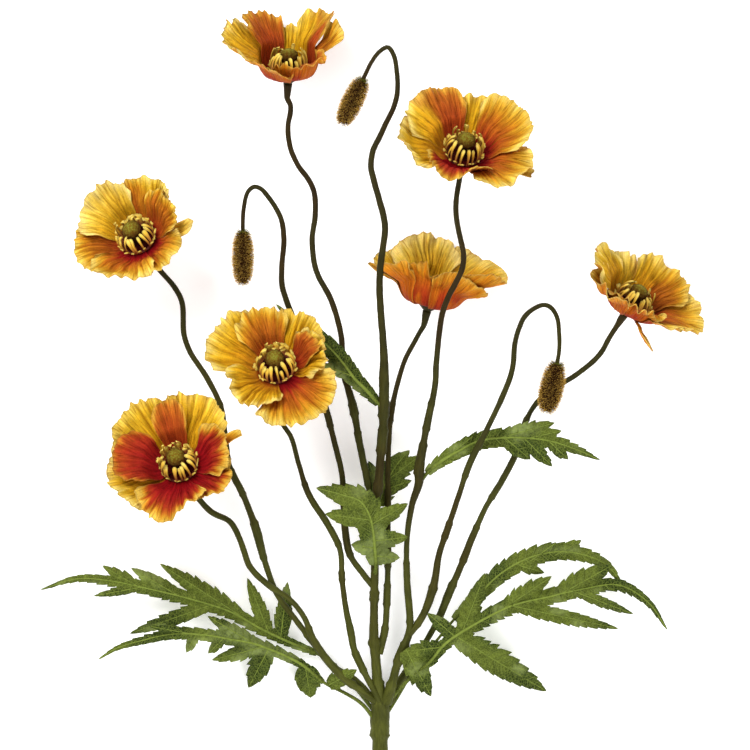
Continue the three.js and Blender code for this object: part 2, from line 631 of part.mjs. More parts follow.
// A loop without corners that lie on a straight line or close to the one before
function smoothLoop(loop) {
  const kept = loop.filter((p, i) => p.distanceTo(loop[(i + 1) % loop.length]) > 0.6);
  return kept.filter((p, i) => {
    const before = kept[(i + kept.length - 1) % kept.length];
    const after = kept[(i + 1) % kept.length];
    const area = (p.x - before.x) * (after.y - before.y) - (p.y - before.y) * (after.x - before.x);
    return Math.abs(area) > 0.15 * before.distanceTo(after);
  });
}

// One thin arched blade on the outline of rib and lobes, on a stalk
function leaf({ rib, start, width, lobes }) {
  const points = rib.map(([column, row, height]) => place(column, row, height));
  const route = new THREE.CatmullRomCurve3(points, false, 'centripetal');
  const ribSteps = Math.max(5, Math.round(route.getLength() * (1 - start) / RIB_STEP));
  const lines = [middleLine(points, start, width * MM_PER_PIXEL, ribSteps, 0.1)];
  for (const [root, tip, lobeWidth] of lobes) {
    const [a, b] = [place(...root), place(...tip)];
    const bow = a.clone().lerp(b, 0.5);
    bow.z += a.distanceTo(b) * LOBE_BOW;
    lines.push(middleLine([a, bow, b], 0, lobeWidth * MM_PER_PIXEL, LOBE_STEPS, 0.2));
  }
  const heightAt = (x, y) => {
    let sum = 0;
    let weight = 0;
    let nearest = Infinity;
    for (const { centre } of lines.flat()) {
      const away = Math.hypot(x - centre.x, y - centre.y);
      const pull = (away * away + 4) ** -1.5;
      sum += pull * centre.z;
      weight += pull;
      nearest = Math.min(nearest, away);
    }
    return Math.max(LEAF_BLADE / 2 + REST, sum / weight - LEAF_FALL * nearest);
  };
  const [outer, ...holes] = outlines(fuse(lines.map(plate)));
  const shape = new THREE.Shape(outer);
  shape.holes = holes.map((hole) => new THREE.Path(hole));
  const sheet = new THREE.ExtrudeGeometry(shape, { depth: LEAF_BLADE, bevelEnabled: false });
  const corners = sheet.getAttribute('position');
  for (let i = 0; i < corners.count; i += 1) {
    corners.setZ(i, corners.getZ(i) - LEAF_BLADE / 2 + heightAt(corners.getX(i), corners.getY(i)));
  }
  const stalkPoints = STALK.map(([share]) => route.getPointAt(share));
  const stalk = tube(stalkPoints, STALK.map(([, radius]) => radius), STEM_SIDES);
  return fuse([solidOf(sheet), solidOf(stalk)]);
}

// Assembly

const spray = new THREE.Group();

function addNode(name, solid, colour, roughness) {
  const { vertProperties, triVerts } = solid.getMesh();
  const geometry = new THREE.BufferGeometry();
  geometry.setAttribute('position', new THREE.BufferAttribute(new Float32Array(vertProperties), 3));
  geometry.setIndex(new THREE.BufferAttribute(new Uint32Array(triVerts), 1));
  geometry.computeVertexNormals();
  const material = new THREE.MeshStandardMaterial({ color: colour, roughness, metalness: 0 });
  const mesh = new THREE.Mesh(geometry, material);
  mesh.name = name;
  spray.add(mesh);
}

// The main stem, worn flat underneath where its base lies on the surface
const mainRoute = routeOf([...MAIN_ROUTE, ...BASE_ROUTE]);
const mainTube = (grow) => solidOf(tube(mainRoute.points, mainRoute.radii, MAIN_SIDES, grow));
const [floorSpan, floorDepth] = [2000, 40];
const floorBlock = new THREE.BoxGeometry(floorSpan, floorSpan, floorDepth);
floorBlock.translate(0, 0, -floorDepth / 2);
const floor = solidOf(floorBlock);
const blocked = [mainTube(CUT)];
addNode('main_stem', largest(mainTube(0).subtract(floor)), COLOURS.stem, 0.6);

// Branch stems, each cut where it meets what is already there
for (const [name, rows] of Object.entries(STEM_ROUTES)) {
  const bloom = BLOOMS[Number(name.split('_')[1]) - 1];
  const { points, radii } = name.startsWith('bloom') ? bloomStemRoute(bloom, rows) : routeOf(rows);
  const whole = solidOf(tube(points, radii, STEM_SIDES));
  const cut = largest(blocked.reduce((rest, other) => rest.subtract(other), whole).subtract(floor));
  addNode(name, cut, COLOURS.stem, 0.6);
  blocked.push(solidOf(tube(points, radii, STEM_SIDES, CUT)));
}

for (const [name, form] of Object.entries(LEAVES)) {
  const cut = largest(blocked.reduce((rest, other) => rest.subtract(other), leaf(form)).subtract(floor));
  addNode(name, cut, COLOURS.leaf, 0.65);
}

for (const [name, form] of Object.entries(BUDS)) addNode(name, bud(form), COLOURS.bud, 0.9);

BLOOMS.forEach((bloom, index) => {
  addNode(`bloom_${index + 1}_petals`, petals(bloom), COLOURS.petals, 0.55);
  addNode(`bloom_${index + 1}_stamens`, stamens(bloom), COLOURS.stamens, 0.6);
  addNode(`bloom_${index + 1}_capsule`, capsule(bloom), COLOURS.capsule, 0.8);
});

// The origin is under the middle of the whole, on the surface
const box = new THREE.Box3().setFromObject(spray);
spray.position.set(-(box.min.x + box.max.x) / 2, -(box.min.y + box.max.y) / 2, -box.min.z);
spray.updateMatrixWorld(true);

export default spray;
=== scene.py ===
"""Looks of a spray of seven Iceland poppies with three nodding buds, lying on its back.

Sizes are millimetres in the part's own frame until a piece is made, and the routes are given
in the photograph's pixels, as the construction gives them.
"""

import math

import bpy
import numpy as np
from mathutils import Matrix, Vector
from mathutils.geometry import delaunay_2d_cdt


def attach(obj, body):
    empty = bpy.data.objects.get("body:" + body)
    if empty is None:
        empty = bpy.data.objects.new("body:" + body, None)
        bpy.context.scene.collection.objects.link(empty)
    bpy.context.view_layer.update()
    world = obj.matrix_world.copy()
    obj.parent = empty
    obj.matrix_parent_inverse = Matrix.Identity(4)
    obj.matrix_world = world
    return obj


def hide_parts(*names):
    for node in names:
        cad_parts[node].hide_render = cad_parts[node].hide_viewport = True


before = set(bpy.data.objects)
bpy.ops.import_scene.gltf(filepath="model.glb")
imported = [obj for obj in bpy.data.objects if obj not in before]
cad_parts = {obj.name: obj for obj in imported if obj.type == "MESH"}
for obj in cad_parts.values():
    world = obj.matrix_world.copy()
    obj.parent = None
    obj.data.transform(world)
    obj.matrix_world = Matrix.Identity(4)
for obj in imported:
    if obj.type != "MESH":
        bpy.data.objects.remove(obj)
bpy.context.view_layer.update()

# Frame: the photograph's scale, and the way from its axis and foot to the part's origin
MM = 0.001
MM_PER_PIXEL = 0.75
AXIS_PIXEL = 378
FOOT_PIXEL = 750
PHOTO_PIXELS = 750
ORIGIN = np.array([5.896, -254.8327, 0.0])
GAP = 0.3                # between pieces that stand on each other
SPLINE_CUTS = 16         # straight pieces of a curve between two of its points
NOISE_CELLS = 61         # a random field repeats after so many cells
PROFILE_STEP = 0.03      # spacing of the corners of a smooth profile

# Petals
FLOOR_RADIUS = 14.5      # flat middle of a bloom, where the petals start to rise
RISE = 16                # length over which a petal turns up to its lift
LIFT_SPREAD = 32         # degrees over which one petal's lift passes into the next one's
PETAL_ROOT = 7           # a petal starts this far from the bloom's axis
ROOT_WIDTH = 0.88        # and spans this share of its angle there
LAYER = 1.1              # height of the inner petals over the outer ones
LAYER_LIFT = 6.5         # degrees that the inner petals lift more
RUFFLE = 2.6             # height of the slow waves at the rim
RUFFLES = 5              # slow waves round a bloom
FRILL = 3.0              # height of the quick waves at the rim
FRILL_PITCH = 15         # degrees of a bloom that one of them takes
PLEAT = 0.75             # height of the folds that run along a petal
CRINKLE = 0.3            # height of the fine creases between them
BROAD_TEETH = 0.09       # depths of the rim's teeth, as shares of the petal's length
FINE_TEETH = 0.04
RIM_ROUNDING = 0.2       # share by which a petal is shorter at its sides
FLAP_ROUNDING = 0.3
SWAY = 1.8               # degrees by which a petal wanders to its sides
CURL = 9                 # degrees by which its rim curls up and down
USUAL_HALF = 42          # half angle of a petal on which the waves have their usual width
NARROW = 20              # a petal that spans less than this half angle is a folded flap
PETAL_CLOTH = 0.55       # thickness
PETAL_MESH = (30, 78)    # rows and columns
FLAP_MESH = (24, 18)
THROAT_RADIUS = 11.5     # a petal is as dark as the throat up to here
THROAT = "4a0808"
BLUSH = "981a12"
RIM = "e6cb72"
RECEPTACLE_TOP = 1.2
RECEPTACLE_BOTTOM = -6
SEAT = RECEPTACLE_TOP + GAP    # where the filaments and the capsule stand
CAP_PROFILE = [(2.6, RECEPTACLE_BOTTOM), (4.6, -4.4), (7.4, -2.0), (9, -0.5)]
CUP_PROFILE = [(9, -0.45), (9.3, 0.6), (8.4, RECEPTACLE_TOP), (3, RECEPTACLE_TOP)]
CUP_SIDES = 32
CAP_GREEN = "3a3514"
CUP_RED = "3c0707"
COLLAR = [(0, 3.4), (5, 2.9), (12, 2.1)]    # the top of a bloom's stem: distance below its cup, and radius

# Filaments and capsules
RING_RADIUS = 12.3
RING_RED = "4a1208"
RING_SECTION = [(-1.2, 0), (1.2, 0), (1.0, 0.7), (-0.8, 0.9)]    # out from its radius, and up
RING_SIDES = 64
STRAPS = 20              # filaments in the ring
STRAP_LENGTH = 20
STRAP_HALF = 1.05        # half of a filament's usual width
FRINGE = 22              # short filaments that flare outside the ring
FRINGE_LENGTH = (4.5, 9.5)    # at the front of a bloom and at its back
FRINGE_HALF = (1.0, 2.2)
STRAP_MESH = (16, 6)
STRAP_WIDTHS = [(0, 0.75), (0.3, 0.6), (0.6, 0.75), (0.85, 1.25), (0.95, 1.15), (1, 0.55)]
STRAP_TINTS = [(0, "a0522c"), (0.25, "b9753a"), (0.5, "cf9a3c"), (0.75, "e2b83c"), (1, "f2d868")]
CAPSULE_RADIUS = 7
CAPSULE_HEIGHT = 19
CAPSULE_SIDES = 64
RIBS = 10
RIB_HEIGHT = 0.15
KNOB_HEIGHT = 0.55
CAPSULE_PROFILE = [(0.5, 0), (0.7, 0.5), (1, 0.74), (0.92, 0.88), (0.5, 1)]    # shares of radius and height
CAPSULE_LID = [(0.36, 1.02), (0.2, 1.03), (0.06, 1.03)]
CAPSULE_TINTS = [
    (0, "260c08"), (0.45, "402c0c"), (0.66, "564210"), (0.8, "675c1a"), (0.92, "726b20"), (1, "7c7a28"),
]

# Buds, with their profile in shares of the radius and the length
BUD_PROFILE = [
    (0.26, 0), (0.5, 0.04), (0.8, 0.18), (0.97, 0.38), (1, 0.55), (0.88, 0.76), (0.62, 0.91), (0.3, 0.985),
    (0.05, 1),
]
BUD_SIDES = 40
BUD_SEAM = 0.1           # between a bud and its stem's end
BUD_CORE = [(0, "5c6a22"), (0.1, "2c1806"), (1, "1c0a03")]
BUD_NECK = "5a6422"      # the hairs turn green where the stem joins
BUD_HAIRS = 5600
HAIR_LENGTH = 3.4
HAIR_RADIUS = 0.09
HAIR_STRAY = 0.1         # radians by which a hair strays from its way out
HAIR = [(0, 1.0, "1c0602"), (0.5, 0.9, "4a2208"), (1, 0.5, "f0c25c")]    # place, thickness and colour
OBLIQUE = np.array([0.31, 0.52, 0.79])    # any slanted direction, to find a hair's sides with

# Stems and leaves
STEM_SIDES = 16
STEM_STEP = 1.8
SLEEVED = 260            # the stems have sleeves below this height of the picture
SLEEVE = 1.22            # and are so much thicker there
STEM_LOW = "434618"
STEM_HIGH = "2a260c"
STEM_BROWN = "2a1707"
LEAF_CLOTH = 0.6
LEAF_CELL = 1.7          # spacing of a leaf's mesh
LEAF_REACH = 7           # a leaf's folds level off this far from a rib
LEAF_CURL = 2.6          # height of the quick waves of a blade
LEAF_BEND = 2.2          # height of its slow ones
LEAST_HALF = 0.35        # half width of a blade at its tip
LOBE_BOW = 0.06          # a lobe bows up by this share of its length
TOOTH = 8                # usual length of a tooth on a leaf's edge
VEIN_STEP = 6.5
LEAST_VEINED = 2.2       # half width of the narrowest blade that has side veins
LEAF_DARK = "263210"
LEAF_LIGHT = "4c561e"
# Colour of the painted sheen on the leaves' upper faces
LEAF_PAINTED_SHEEN = "7e8a50"
LEAF_UNDER = ("66734a", "7c8a60")
VEIN = "6f7d34"
VEIN_SIDES = 5
STALK_SIDES = 8
STALK_OLIVE = "474f1c"
STALK = [(0, 1.9), (0.1, 1.7), (0.25, 1.4), (0.4, 1.1), (0.55, 0.8), (1, 0.4)]    # share of the way, radius
# Corners of a tooth: the share of its length, and the shares of its depth that it stands out and ahead
TOOTH_CORNERS = [(0.03, -0.17, 0), (0.32, 0, 0), (0.62, 0.08, 0), (0.86, 0.2, 0.28)]

# Stage, in metres
SKY = 0.72
LIGHTS = [("key", (-0.9, 1.0, 1.5), 0.9, 34.0), ("fill", (0.6, -1.1, 1.4), 1.2, 23.0)]    # spot, size, power
BLOOM_HEIGHT = 45        # millimetres
CAMERA_DISTANCE = 6.0
CAMERA_SENSOR = 36.0     # millimetres
FLOOR_SIZE = 8
FLOOR_WHITE = (0.95, 0.95, 0.945, 1.0)
FLOOR_GLOW = 0.3
WHITE = (1.0, 1.0, 1.0, 1.0)


def colour(code):
    """Linear colour of a web colour."""
    parts = [int(code[i:i + 2], 16) / 255 for i in (0, 2, 4)]
    return np.array([p / 12.92 if p < 0.04045 else ((p + 0.055) / 1.055) ** 2.4 for p in parts])


def ramp(stops, where):
    """Colours at places from 0 to 1 of a ramp of (place, web colour)."""
    places = [place for place, _ in stops]
    colours = np.array([colour(code) for _, code in stops])
    return np.stack([np.interp(where, places, colours[:, k]) for k in range(3)], axis=-1)


# Colours of a petal's inner face from the throat to its rim
TONES = {
    "red": [
        (0, "86080f"), (0.2, "920f17"), (0.48, "981c18"), (0.7, "a43619"), (0.82, "b8661c"),
        (0.9, "cd962a"), (1, "dcb54a"),
    ],
    "orange": [
        (0, "8c1410"), (0.12, "a04216"), (0.4, "ac5c18"), (0.68, "b56e18"), (0.82, "c4881c"),
        (0.91, "d4a530"), (1, "dfbd55"),
    ],
    "blush": [
        (0, "8a0a18"), (0.12, "9c1f18"), (0.28, "ab4d18"), (0.55, "b76a18"), (0.74, "c88f20"),
        (0.88, "d8ae38"), (1, "e2c662"),
    ],
    "ember": [(0, "8c1410"), (0.2, "a03a16"), (0.6, "ab4d18"), (0.88, "b8681e"), (1, "cf9a34")],
    "patch": [(0, "8a0c14"), (0.3, "961a18"), (0.7, "9e2e18"), (0.92, "aa481a"), (1, "bd7622")],
    "yellow": [
        (0, "93400f"), (0.1, "b87416"), (0.4, "ca9016"), (0.66, "d09e1a"), (0.82, "d8ae2c"),
        (0.93, "e2c150"), (1, "e8cf70"),
    ],
    "pleated": [(0, "9a4c10"), (0.1, "c88c14"), (0.45, "d2a118"), (0.8, "d8ae28"), (1, "e0c050")],
    "pale": [
        (0, "9a4c10"), (0.1, "c48a16"), (0.35, "d0a01e"), (0.62, "dab236"), (0.82, "e2c352"), (1, "ebd27a"),
    ],
}
OUTSIDE = [(0, "a5400f"), (0.3, "bf6012"), (0.6, "c87016"), (0.85, "d28a1c"), (1, "dca43a")]
# Share of the usual height that the folds of a petal with each tone have
PLEATS = {
    "red": 0.8, "orange": 1.0, "blush": 1.0, "ember": 0.6, "patch": 0.5, "yellow": 1.1, "pleated": 1.9,
    "pale": 1.2,
}

# Blooms: the centre as column, row and height, the way that each faces, and its petals. A petal has an
# azimuth, 0 to the right and 90 to the back, its length, the angle that it lifts, half the angle that it
# spans, its layer, 2 on top, 1 inner, 0 outer and -1 behind, and one tone or two. The angles are in degrees.
BLOOMS = [
    {
        "centre": (288, 75, 33), "phase": 20, "ragged": 0.9, "facing": (0.04, 0.93, 0.36),
        "petals": [
            (180, 61, 36, 40, 0, "yellow"), (133, 57, 37, 36, 1, "ember"), (90, 47, 26, 42, 0, "pleated"),
            (46, 59, 41, 34, 1, "ember+pleated"), (12, 54, 40, 21, 0, "orange"),
            (300, 38, 22, 60, 1, "ember"), (235, 43, 20, 44, 0, "ember"),
        ],
    },
    {
        "centre": (463, 157, 78), "phase": 120, "ragged": 0.8, "facing": (0.11, 0.69, 0.71),
        "petals": [
            (185, 54, 14, 42, 0, "yellow"), (132, 56, 20, 44, 1, "ember+yellow"),
            (80, 50, 22, 42, 0, "pleated"), (28, 56, 16, 44, 1, "blush"), (322, 55, 16, 42, 0, "blush"),
            (256, 43, 16, 56, 1, "red"), (341, 55, 5, 8, -1, "yellow"),
        ],
    },
    {
        "centre": (140, 241, 58), "phase": 250, "ragged": 0.75, "facing": (-0.35, 0.50, 0.79),
        "petals": [
            (180, 49, 14, 42, 0, "orange"), (133, 51, 20, 44, 1, "pale"),
            (72, 48, 25, 42, 0, "yellow+orange"), (30, 42, 17, 42, 1, "orange"),
            (315, 44, 15, 42, 0, "blush"), (252, 47, 9, 50, 1, "blush"), (0, 47, 6, 11, -1, "pale"),
        ],
    },
    {
        "centre": (429, 303, 27), "phase": 60, "ragged": 0.4, "facing": (0.22, 0.94, 0.26),
        "petals": [
            (112, 54, 50, 60, 1, "pale"), (40, 58, 41, 42, 0, "pale"), (346, 62, 20, 42, 1, "blush"),
            (308, 51, 38, 46, 0, "orange"), (246, 43, 43, 44, 1, "ember"), (187, 54, 26, 44, 0, "yellow"),
            (178, 55, 25, 9, -1, "orange"),
        ],
    },
    {
        "centre": (629, 308, 35), "phase": 300, "ragged": 0.8, "facing": (0.48, 0.75, 0.45),
        "petals": [
            (165, 52, 27, 42, 1, "yellow"), (110, 46, 27, 40, 0, "pale"),
            (54, 52, 19, 46, 1, "orange+yellow"), (342, 57, 19, 50, 0, "blush"),
            (262, 42, 23, 58, 1, "orange"), (212, 48, 19, 42, 0, "orange"), (298, 46, -5, 6, -1, "yellow"),
        ],
    },
    {
        "centre": (277.5, 370, 72), "phase": 200, "ragged": 1.0, "facing": (-0.10, 0.53, 0.84),
        "petals": [
            (148, 56, 13, 42, 0, "yellow"), (108, 49, 14, 36, 1, "orange"), (62, 47, 18, 42, 0, "pleated"),
            (12, 41, 12, 42, 1, "yellow"), (300, 57, 8, 50, 0, "blush"), (230, 43, 8, 52, 1, "yellow"),
            (22, 38, 12, 30, 2, "ember"),
        ],
    },
    {
        "centre": (181, 468, 63), "phase": 90, "ragged": 0.9, "facing": (-0.20, 0.53, 0.82),
        "petals": [
            (188, 54, 11, 52, 0, "yellow"), (130, 59, 14, 40, 1, "pleated"), (74, 57, 18, 42, 0, "pleated"),
            (12, 43, 14, 42, 1, "red"), (325, 45, 10, 40, 0, "red"), (262, 50, 5, 46, 1, "red"),
            (24, 53, 9, 6, -1, "orange"), (176, 51, 11, 43, 2, "patch"), (97, 51, 18, 27, 2, "ember"),
        ],
    },
]

# Stem routes from the top down: photograph column and row, height, and radius
MAIN_ROUTE = [
    (363, 80, 57.5, 1.6), (372, 62, 59, 1.6), (380, 52, 60, 1.7), (388, 48, 61, 1.8), (394, 57, 62, 1.8),
    (397, 75, 63, 1.9), (397, 95, 65, 2), (393, 110, 66, 2), (387, 122, 67, 2.1), (380, 137, 68, 2.2),
    (373, 152, 69, 2.3), (371, 168, 70, 2.4), (374, 182, 72, 2.4), (379, 200, 74, 2.4), (383, 215, 75, 2.5),
    (385, 228, 76, 2.5), (383, 248, 77, 2.5), (380, 270, 76, 2.6), (380, 300, 72, 2.7), (383, 340, 64, 2.8),
    (384, 360, 60, 3.2), (384, 378, 57, 4), (384, 400, 54, 4), (383, 430, 50, 3.5), (380, 465, 45, 3.5),
    (376, 510, 39, 3.3), (375, 560, 33, 3.3), (374, 610, 27, 3.3), (374, 640, 22, 4.2), (376, 665, 18, 4),
    (378, 688, 13, 4.6), (380, 706, 8.5, 6), (380, 718, 6.5, 6.5), (380, 732, 5.9, 6.5),
    (380, 760, 5.9, 6.5), (380, 790, 5.9, 6.5), (380, 810, 5.9, 6.5),
]
STEM_ROUTES = {
    "bloom_2_stem": [
        (456, 200, 64, 2.1), (456, 217, 68, 2.1), (460, 240, 78, 2.1), (463, 255, 82, 2.1),
        (462, 268, 83, 2.1), (456, 282, 82, 2.2), (449, 295, 81, 2.2), (443, 310, 79, 2.2),
        (440, 325, 76, 2.2), (436, 365, 66, 2.3), (435, 385, 62, 2.4), (430, 410, 58, 2.5),
        (424, 440, 53, 2.8), (419, 470, 48, 3.5), (419, 482, 46, 3.6), (412, 505, 43, 2.6),
        (407, 540, 38, 2.3), (407, 580, 33, 2.3), (410, 620, 28, 2.5), (409, 634, 26, 3.2),
        (399, 660, 23, 3.4), (392, 685, 19, 3.6), (386, 705, 13, 3.8),
    ],
    "bloom_5_stem": [
        (610, 338, 24, 2), (600, 355, 23, 2.1), (578, 374, 22, 2.1), (562, 384, 22, 2.1),
        (540, 400, 22, 2.1), (527, 420, 22, 2.1), (518, 450, 23, 2.2), (503, 480, 24, 2.2),
        (486, 508, 25, 2.3), (473, 537, 25, 2.4), (461, 567, 24, 2.8), (450, 592, 22, 2.9),
        (440, 617, 19, 2.6), (425, 645, 15, 2.4), (410, 668, 11, 2.4), (396, 690, 8, 2.8), (388, 706, 7, 3),
    ],
    "bloom_1_stem": [
        (290, 104, 25, 2), (290, 113, 25, 2), (288, 122, 24, 2), (288, 135, 24, 2), (291, 150, 23, 2),
        (298, 165, 23, 2), (309, 180, 23, 2.1), (314, 192, 24, 2.1), (315, 215, 25, 2.1),
        (312, 240, 27, 2.1), (316, 270, 29, 2.2), (331, 300, 32, 2.2), (341, 335, 34, 2.2),
        (343, 370, 36, 2.3), (350, 395, 37, 2.8), (354, 412, 38, 3.1), (359, 440, 38, 2.4),
        (367, 480, 38, 2.3), (372, 505, 38, 2.3), (376, 520, 38, 2.3),
    ],
    "bloom_3_stem": [
        (158, 268, 42, 2), (175, 288, 41, 2.1), (182, 303, 41, 2.1), (184, 335, 41, 2.1),
        (190, 352, 41, 2.1), (207, 378, 42, 2.2), (220, 405, 43, 2.2), (224, 430, 43, 2.2),
        (229, 465, 42, 2.3), (243, 495, 40, 2.4), (256, 530, 36, 3.1), (264, 560, 33, 2.5),
        (277, 595, 29, 2.4), (295, 620, 24, 2.4), (318, 650, 18, 2.4), (333, 668, 15, 2.8),
        (355, 682, 12, 2.9), (372, 700, 10, 2.9),
    ],
    "bloom_7_stem": [
        (210, 511, 42, 2), (230, 522, 41, 2), (240, 540, 41, 2), (250, 567, 40, 2.1), (268, 585, 38, 2.1),
        (290, 600, 35, 2.2), (304, 618, 32, 2.3), (313, 640, 28, 2.4), (328, 662, 24, 2.6),
        (345, 680, 20, 2.9), (362, 693, 17, 2.9), (376, 704, 12, 2.9),
    ],
    "bloom_6_stem": [
        (281, 420, 47, 2), (291, 437, 46, 2), (299, 465, 44, 2.1), (309, 495, 42, 2.2), (328, 525, 40, 2.3),
        (340, 550, 38, 2.3), (342, 580, 35, 2.3), (346, 610, 31, 2.5), (351, 634, 27, 3.3),
        (354, 650, 25, 2.8), (364, 673, 22, 2.5), (374, 692, 17, 2.7), (380, 704, 13, 2.7),
    ],
    "bloom_4_stem": [
        (420, 332, 22.5, 1.9), (414, 343, 24, 1.9), (405, 360, 27, 1.9), (396, 390, 30, 2),
        (391, 415, 32, 2.1), (389, 440, 33, 2.2), (388, 470, 33, 2.2), (388, 510, 30, 2.2),
        (388, 560, 25, 2.3), (387, 600, 21, 2.5), (385, 630, 19, 2.6), (379, 655, 18, 2.6),
    ],
    "bud_2_stem": [
        (243, 231, 50, 1.6), (243, 220, 50, 1.6), (244, 207, 50, 1.7), (248, 192, 50, 1.7),
        (254, 187, 50, 1.8), (261, 189, 50, 1.8), (269, 198, 50, 1.9), (277, 210, 50, 2), (282, 222, 50, 2),
        (284, 240, 49, 2.1), (282, 265, 48, 2.1), (282, 285, 47, 2.2), (287, 302, 46, 2.2),
        (300, 335, 44, 2.2), (314, 375, 43, 2.3), (326, 410, 41, 2.3), (335, 445, 39, 2.4),
        (342, 475, 37, 2.4), (344, 520, 34, 2.4), (350, 555, 31, 2.5), (362, 573, 30, 2.6),
        (374, 588, 29, 2.6),
    ],
    "bud_3_stem": [
        (557, 363, 50, 1.6), (559, 350, 51, 1.6), (559, 335, 52, 1.7), (557, 318, 53, 1.7),
        (551, 308, 54, 1.8), (544, 305, 54, 1.8), (535, 308, 54, 1.8), (525, 316, 54, 1.9),
        (519, 328, 54, 1.9), (515, 342, 54, 2), (512, 370, 53, 2.1), (503, 395, 52, 2.2),
        (484, 435, 50, 2.3), (469, 465, 47, 2.3), (459, 495, 45, 2.3), (449, 525, 42, 2.4),
        (439, 555, 39, 2.6), (434, 585, 35, 3.2), (425, 612, 30, 2.5), (417, 626, 28, 2.5),
        (409, 636, 27, 2.5),
    ],
}

# Buds: the top of each, its tip, and its largest radius
BUDS = {
    "bud_1": (MAIN_ROUTE[0][:3], (341, 126, 52), 8.2),
    "bud_2": (STEM_ROUTES["bud_2_stem"][0][:3], (243, 286, 47), 8.2),
    "bud_3": (STEM_ROUTES["bud_3_stem"][0][:3], (546, 414, 47), 9.2),
}

# Leaves: the rib's route from its root on the stem to the tip, the share of it where the blade starts, the
# blade's largest half width in pixels, and lobes, each with its root, its tip and half its width in pixels
LEAVES = {
    "leaf_left_upper": (
        [
            (376, 716, 5), (362, 698, 4.5), (345, 678, 5), (325, 660, 7), (285, 642, 10), (260, 630, 12),
            (230, 613, 17), (190, 600, 21), (150, 590, 23), (110, 582, 17), (75, 580, 9), (39, 591, 0.5),
        ], 0.22, 7,
        [
            ((140, 589, 22), (102, 567, 20), 6), ((180, 598, 22), (131, 569, 25), 7),
            ((240, 617, 16), (160, 565, 24), 9), ((268, 634, 11), (247, 580, 15), 7),
            ((280, 640, 10), (287, 584, 14), 8), ((140, 588, 22), (93, 597, 14), 4),
            ((210, 606, 19), (129, 635, 8), 7),
        ],
    ),
    "leaf_left_lower": (
        [
            (375, 722, 9), (362, 706, 8.5), (345, 695, 10), (325, 685, 12), (300, 665, 17), (255, 645, 27),
            (230, 640, 30), (200, 635, 31), (170, 635, 27), (140, 642, 18), (115, 650, 8), (97, 661, 0.5),
        ], 0.2, 6,
        [
            ((205, 637, 31), (150, 627, 31), 5), ((258, 647, 27), (208, 617, 33), 7),
            ((195, 636, 30), (186, 653, 22), 5), ((222, 640, 30), (208, 654, 22), 5),
            ((262, 648, 26), (212, 661, 20), 7), ((268, 650, 25), (248, 689, 6), 10),
            ((305, 668, 16), (310, 699, 5), 12), ((328, 687, 13), (356, 671, 29), 8),
        ],
    ),
    "leaf_right": (
        [
            (388, 704, 13), (398, 692, 16), (412, 678, 20), (430, 663, 25), (445, 645, 29), (480, 622, 34),
            (515, 605, 36), (550, 597, 35), (580, 590, 31), (620, 586, 22), (650, 604, 11), (669, 631, 0.5),
        ], 0.12, 8,
        [
            ((442, 648, 28), (404, 652, 32), 8), ((406, 650, 32), (431, 697, 17), 11),
            ((455, 637, 30), (428, 614, 34), 7), ((458, 638, 31), (547, 693, 2), 13),
            ((512, 606, 36), (619, 630, 8), 7), ((575, 592, 31), (634, 615, 13), 5),
            ((505, 608, 36), (551, 577, 42), 9), ((462, 634, 31), (485, 574, 40), 9),
            ((560, 595, 34), (612, 566, 33), 11),
        ],
    ),
    "leaf_right_arching": (
        [
            (388, 714, 5.5), (398, 698, 5), (415, 670, 7), (437, 642, 13), (455, 620, 18), (475, 600, 23),
            (500, 575, 29), (530, 558, 33), (560, 552, 33), (590, 557, 29), (610, 568, 24), (624, 588, 17),
        ], 0.35, 9,
        [
            ((530, 562, 33), (556, 543, 36), 4), ((555, 556, 33), (581, 541, 34), 6),
            ((520, 566, 32), (544, 573, 30), 5),
        ],
    ),
    "leaf_right_middle": (
        [
            (419, 484, 45), (428, 472, 46), (440, 462, 45), (460, 450, 43), (480, 441, 41), (500, 438, 40),
            (525, 438, 39), (550, 441, 37), (575, 449, 34), (600, 460, 29),
        ], 0.06, 9,
        [
            ((445, 459, 44), (473, 436, 44), 6), ((500, 438, 40), (554, 423, 41), 8),
            ((530, 438, 39), (561, 431, 40), 6), ((505, 438, 40), (530, 459, 34), 8),
            ((525, 439, 39), (552, 466, 32), 7), ((550, 442, 37), (568, 459, 32), 6),
        ],
    ),
    "leaf_behind": (
        [(377, 515, 35), (380, 500, 30), (387, 482, 28), (396, 466, 27), (409, 451, 26)], 0.12, 13,
        [
            ((381, 498, 30), (369, 462, 27), 8), ((388, 480, 28), (420, 456, 26), 8),
            ((384, 490, 29), (411, 481, 26), 6),
        ],
    ),
    "leaf_front": (
        [
            (375, 574, 33), (376, 566, 38), (375, 550, 44), (373, 530, 49), (369, 514, 53), (360, 501, 55),
            (340, 494, 54), (317, 488, 51),
        ], 0.08, 15,
        [
            ((371, 520, 52), (326, 514, 50), 9), ((372, 524, 51), (407, 504, 50), 8),
            ((374, 541, 46), (407, 537, 45), 8), ((375, 556, 42), (399, 558, 40), 7),
            ((374, 548, 44), (352, 545, 43), 8),
        ],
    ),
    "leaf_upper": (
        [
            (384, 410, 54), (376, 401, 56), (366, 390, 56), (355, 379, 55), (343, 363, 53), (330, 348, 52),
            (312, 333, 51), (290, 318, 51), (277, 305, 51),
        ], 0.05, 9,
        [((325, 343, 52), (225, 320, 54), 9), ((352, 376, 54), (322, 364, 53), 6)],
    ),
}


# Numbers

def place(column, row, height):
    """Photograph column and row, and height, to a point of the part."""
    across, up = column - AXIS_PIXEL, FOOT_PIXEL - row
    return np.array([across * MM_PER_PIXEL, up * MM_PER_PIXEL, height], float)


def mix(a, b, share):
    return a + (b - a) * share


def ease(x):
    c = np.clip(x, 0, 1)
    return c * c * (3 - 2 * c)


def unit(vectors):
    return vectors / np.maximum(np.linalg.norm(vectors, axis=-1, keepdims=True), 1e-9)


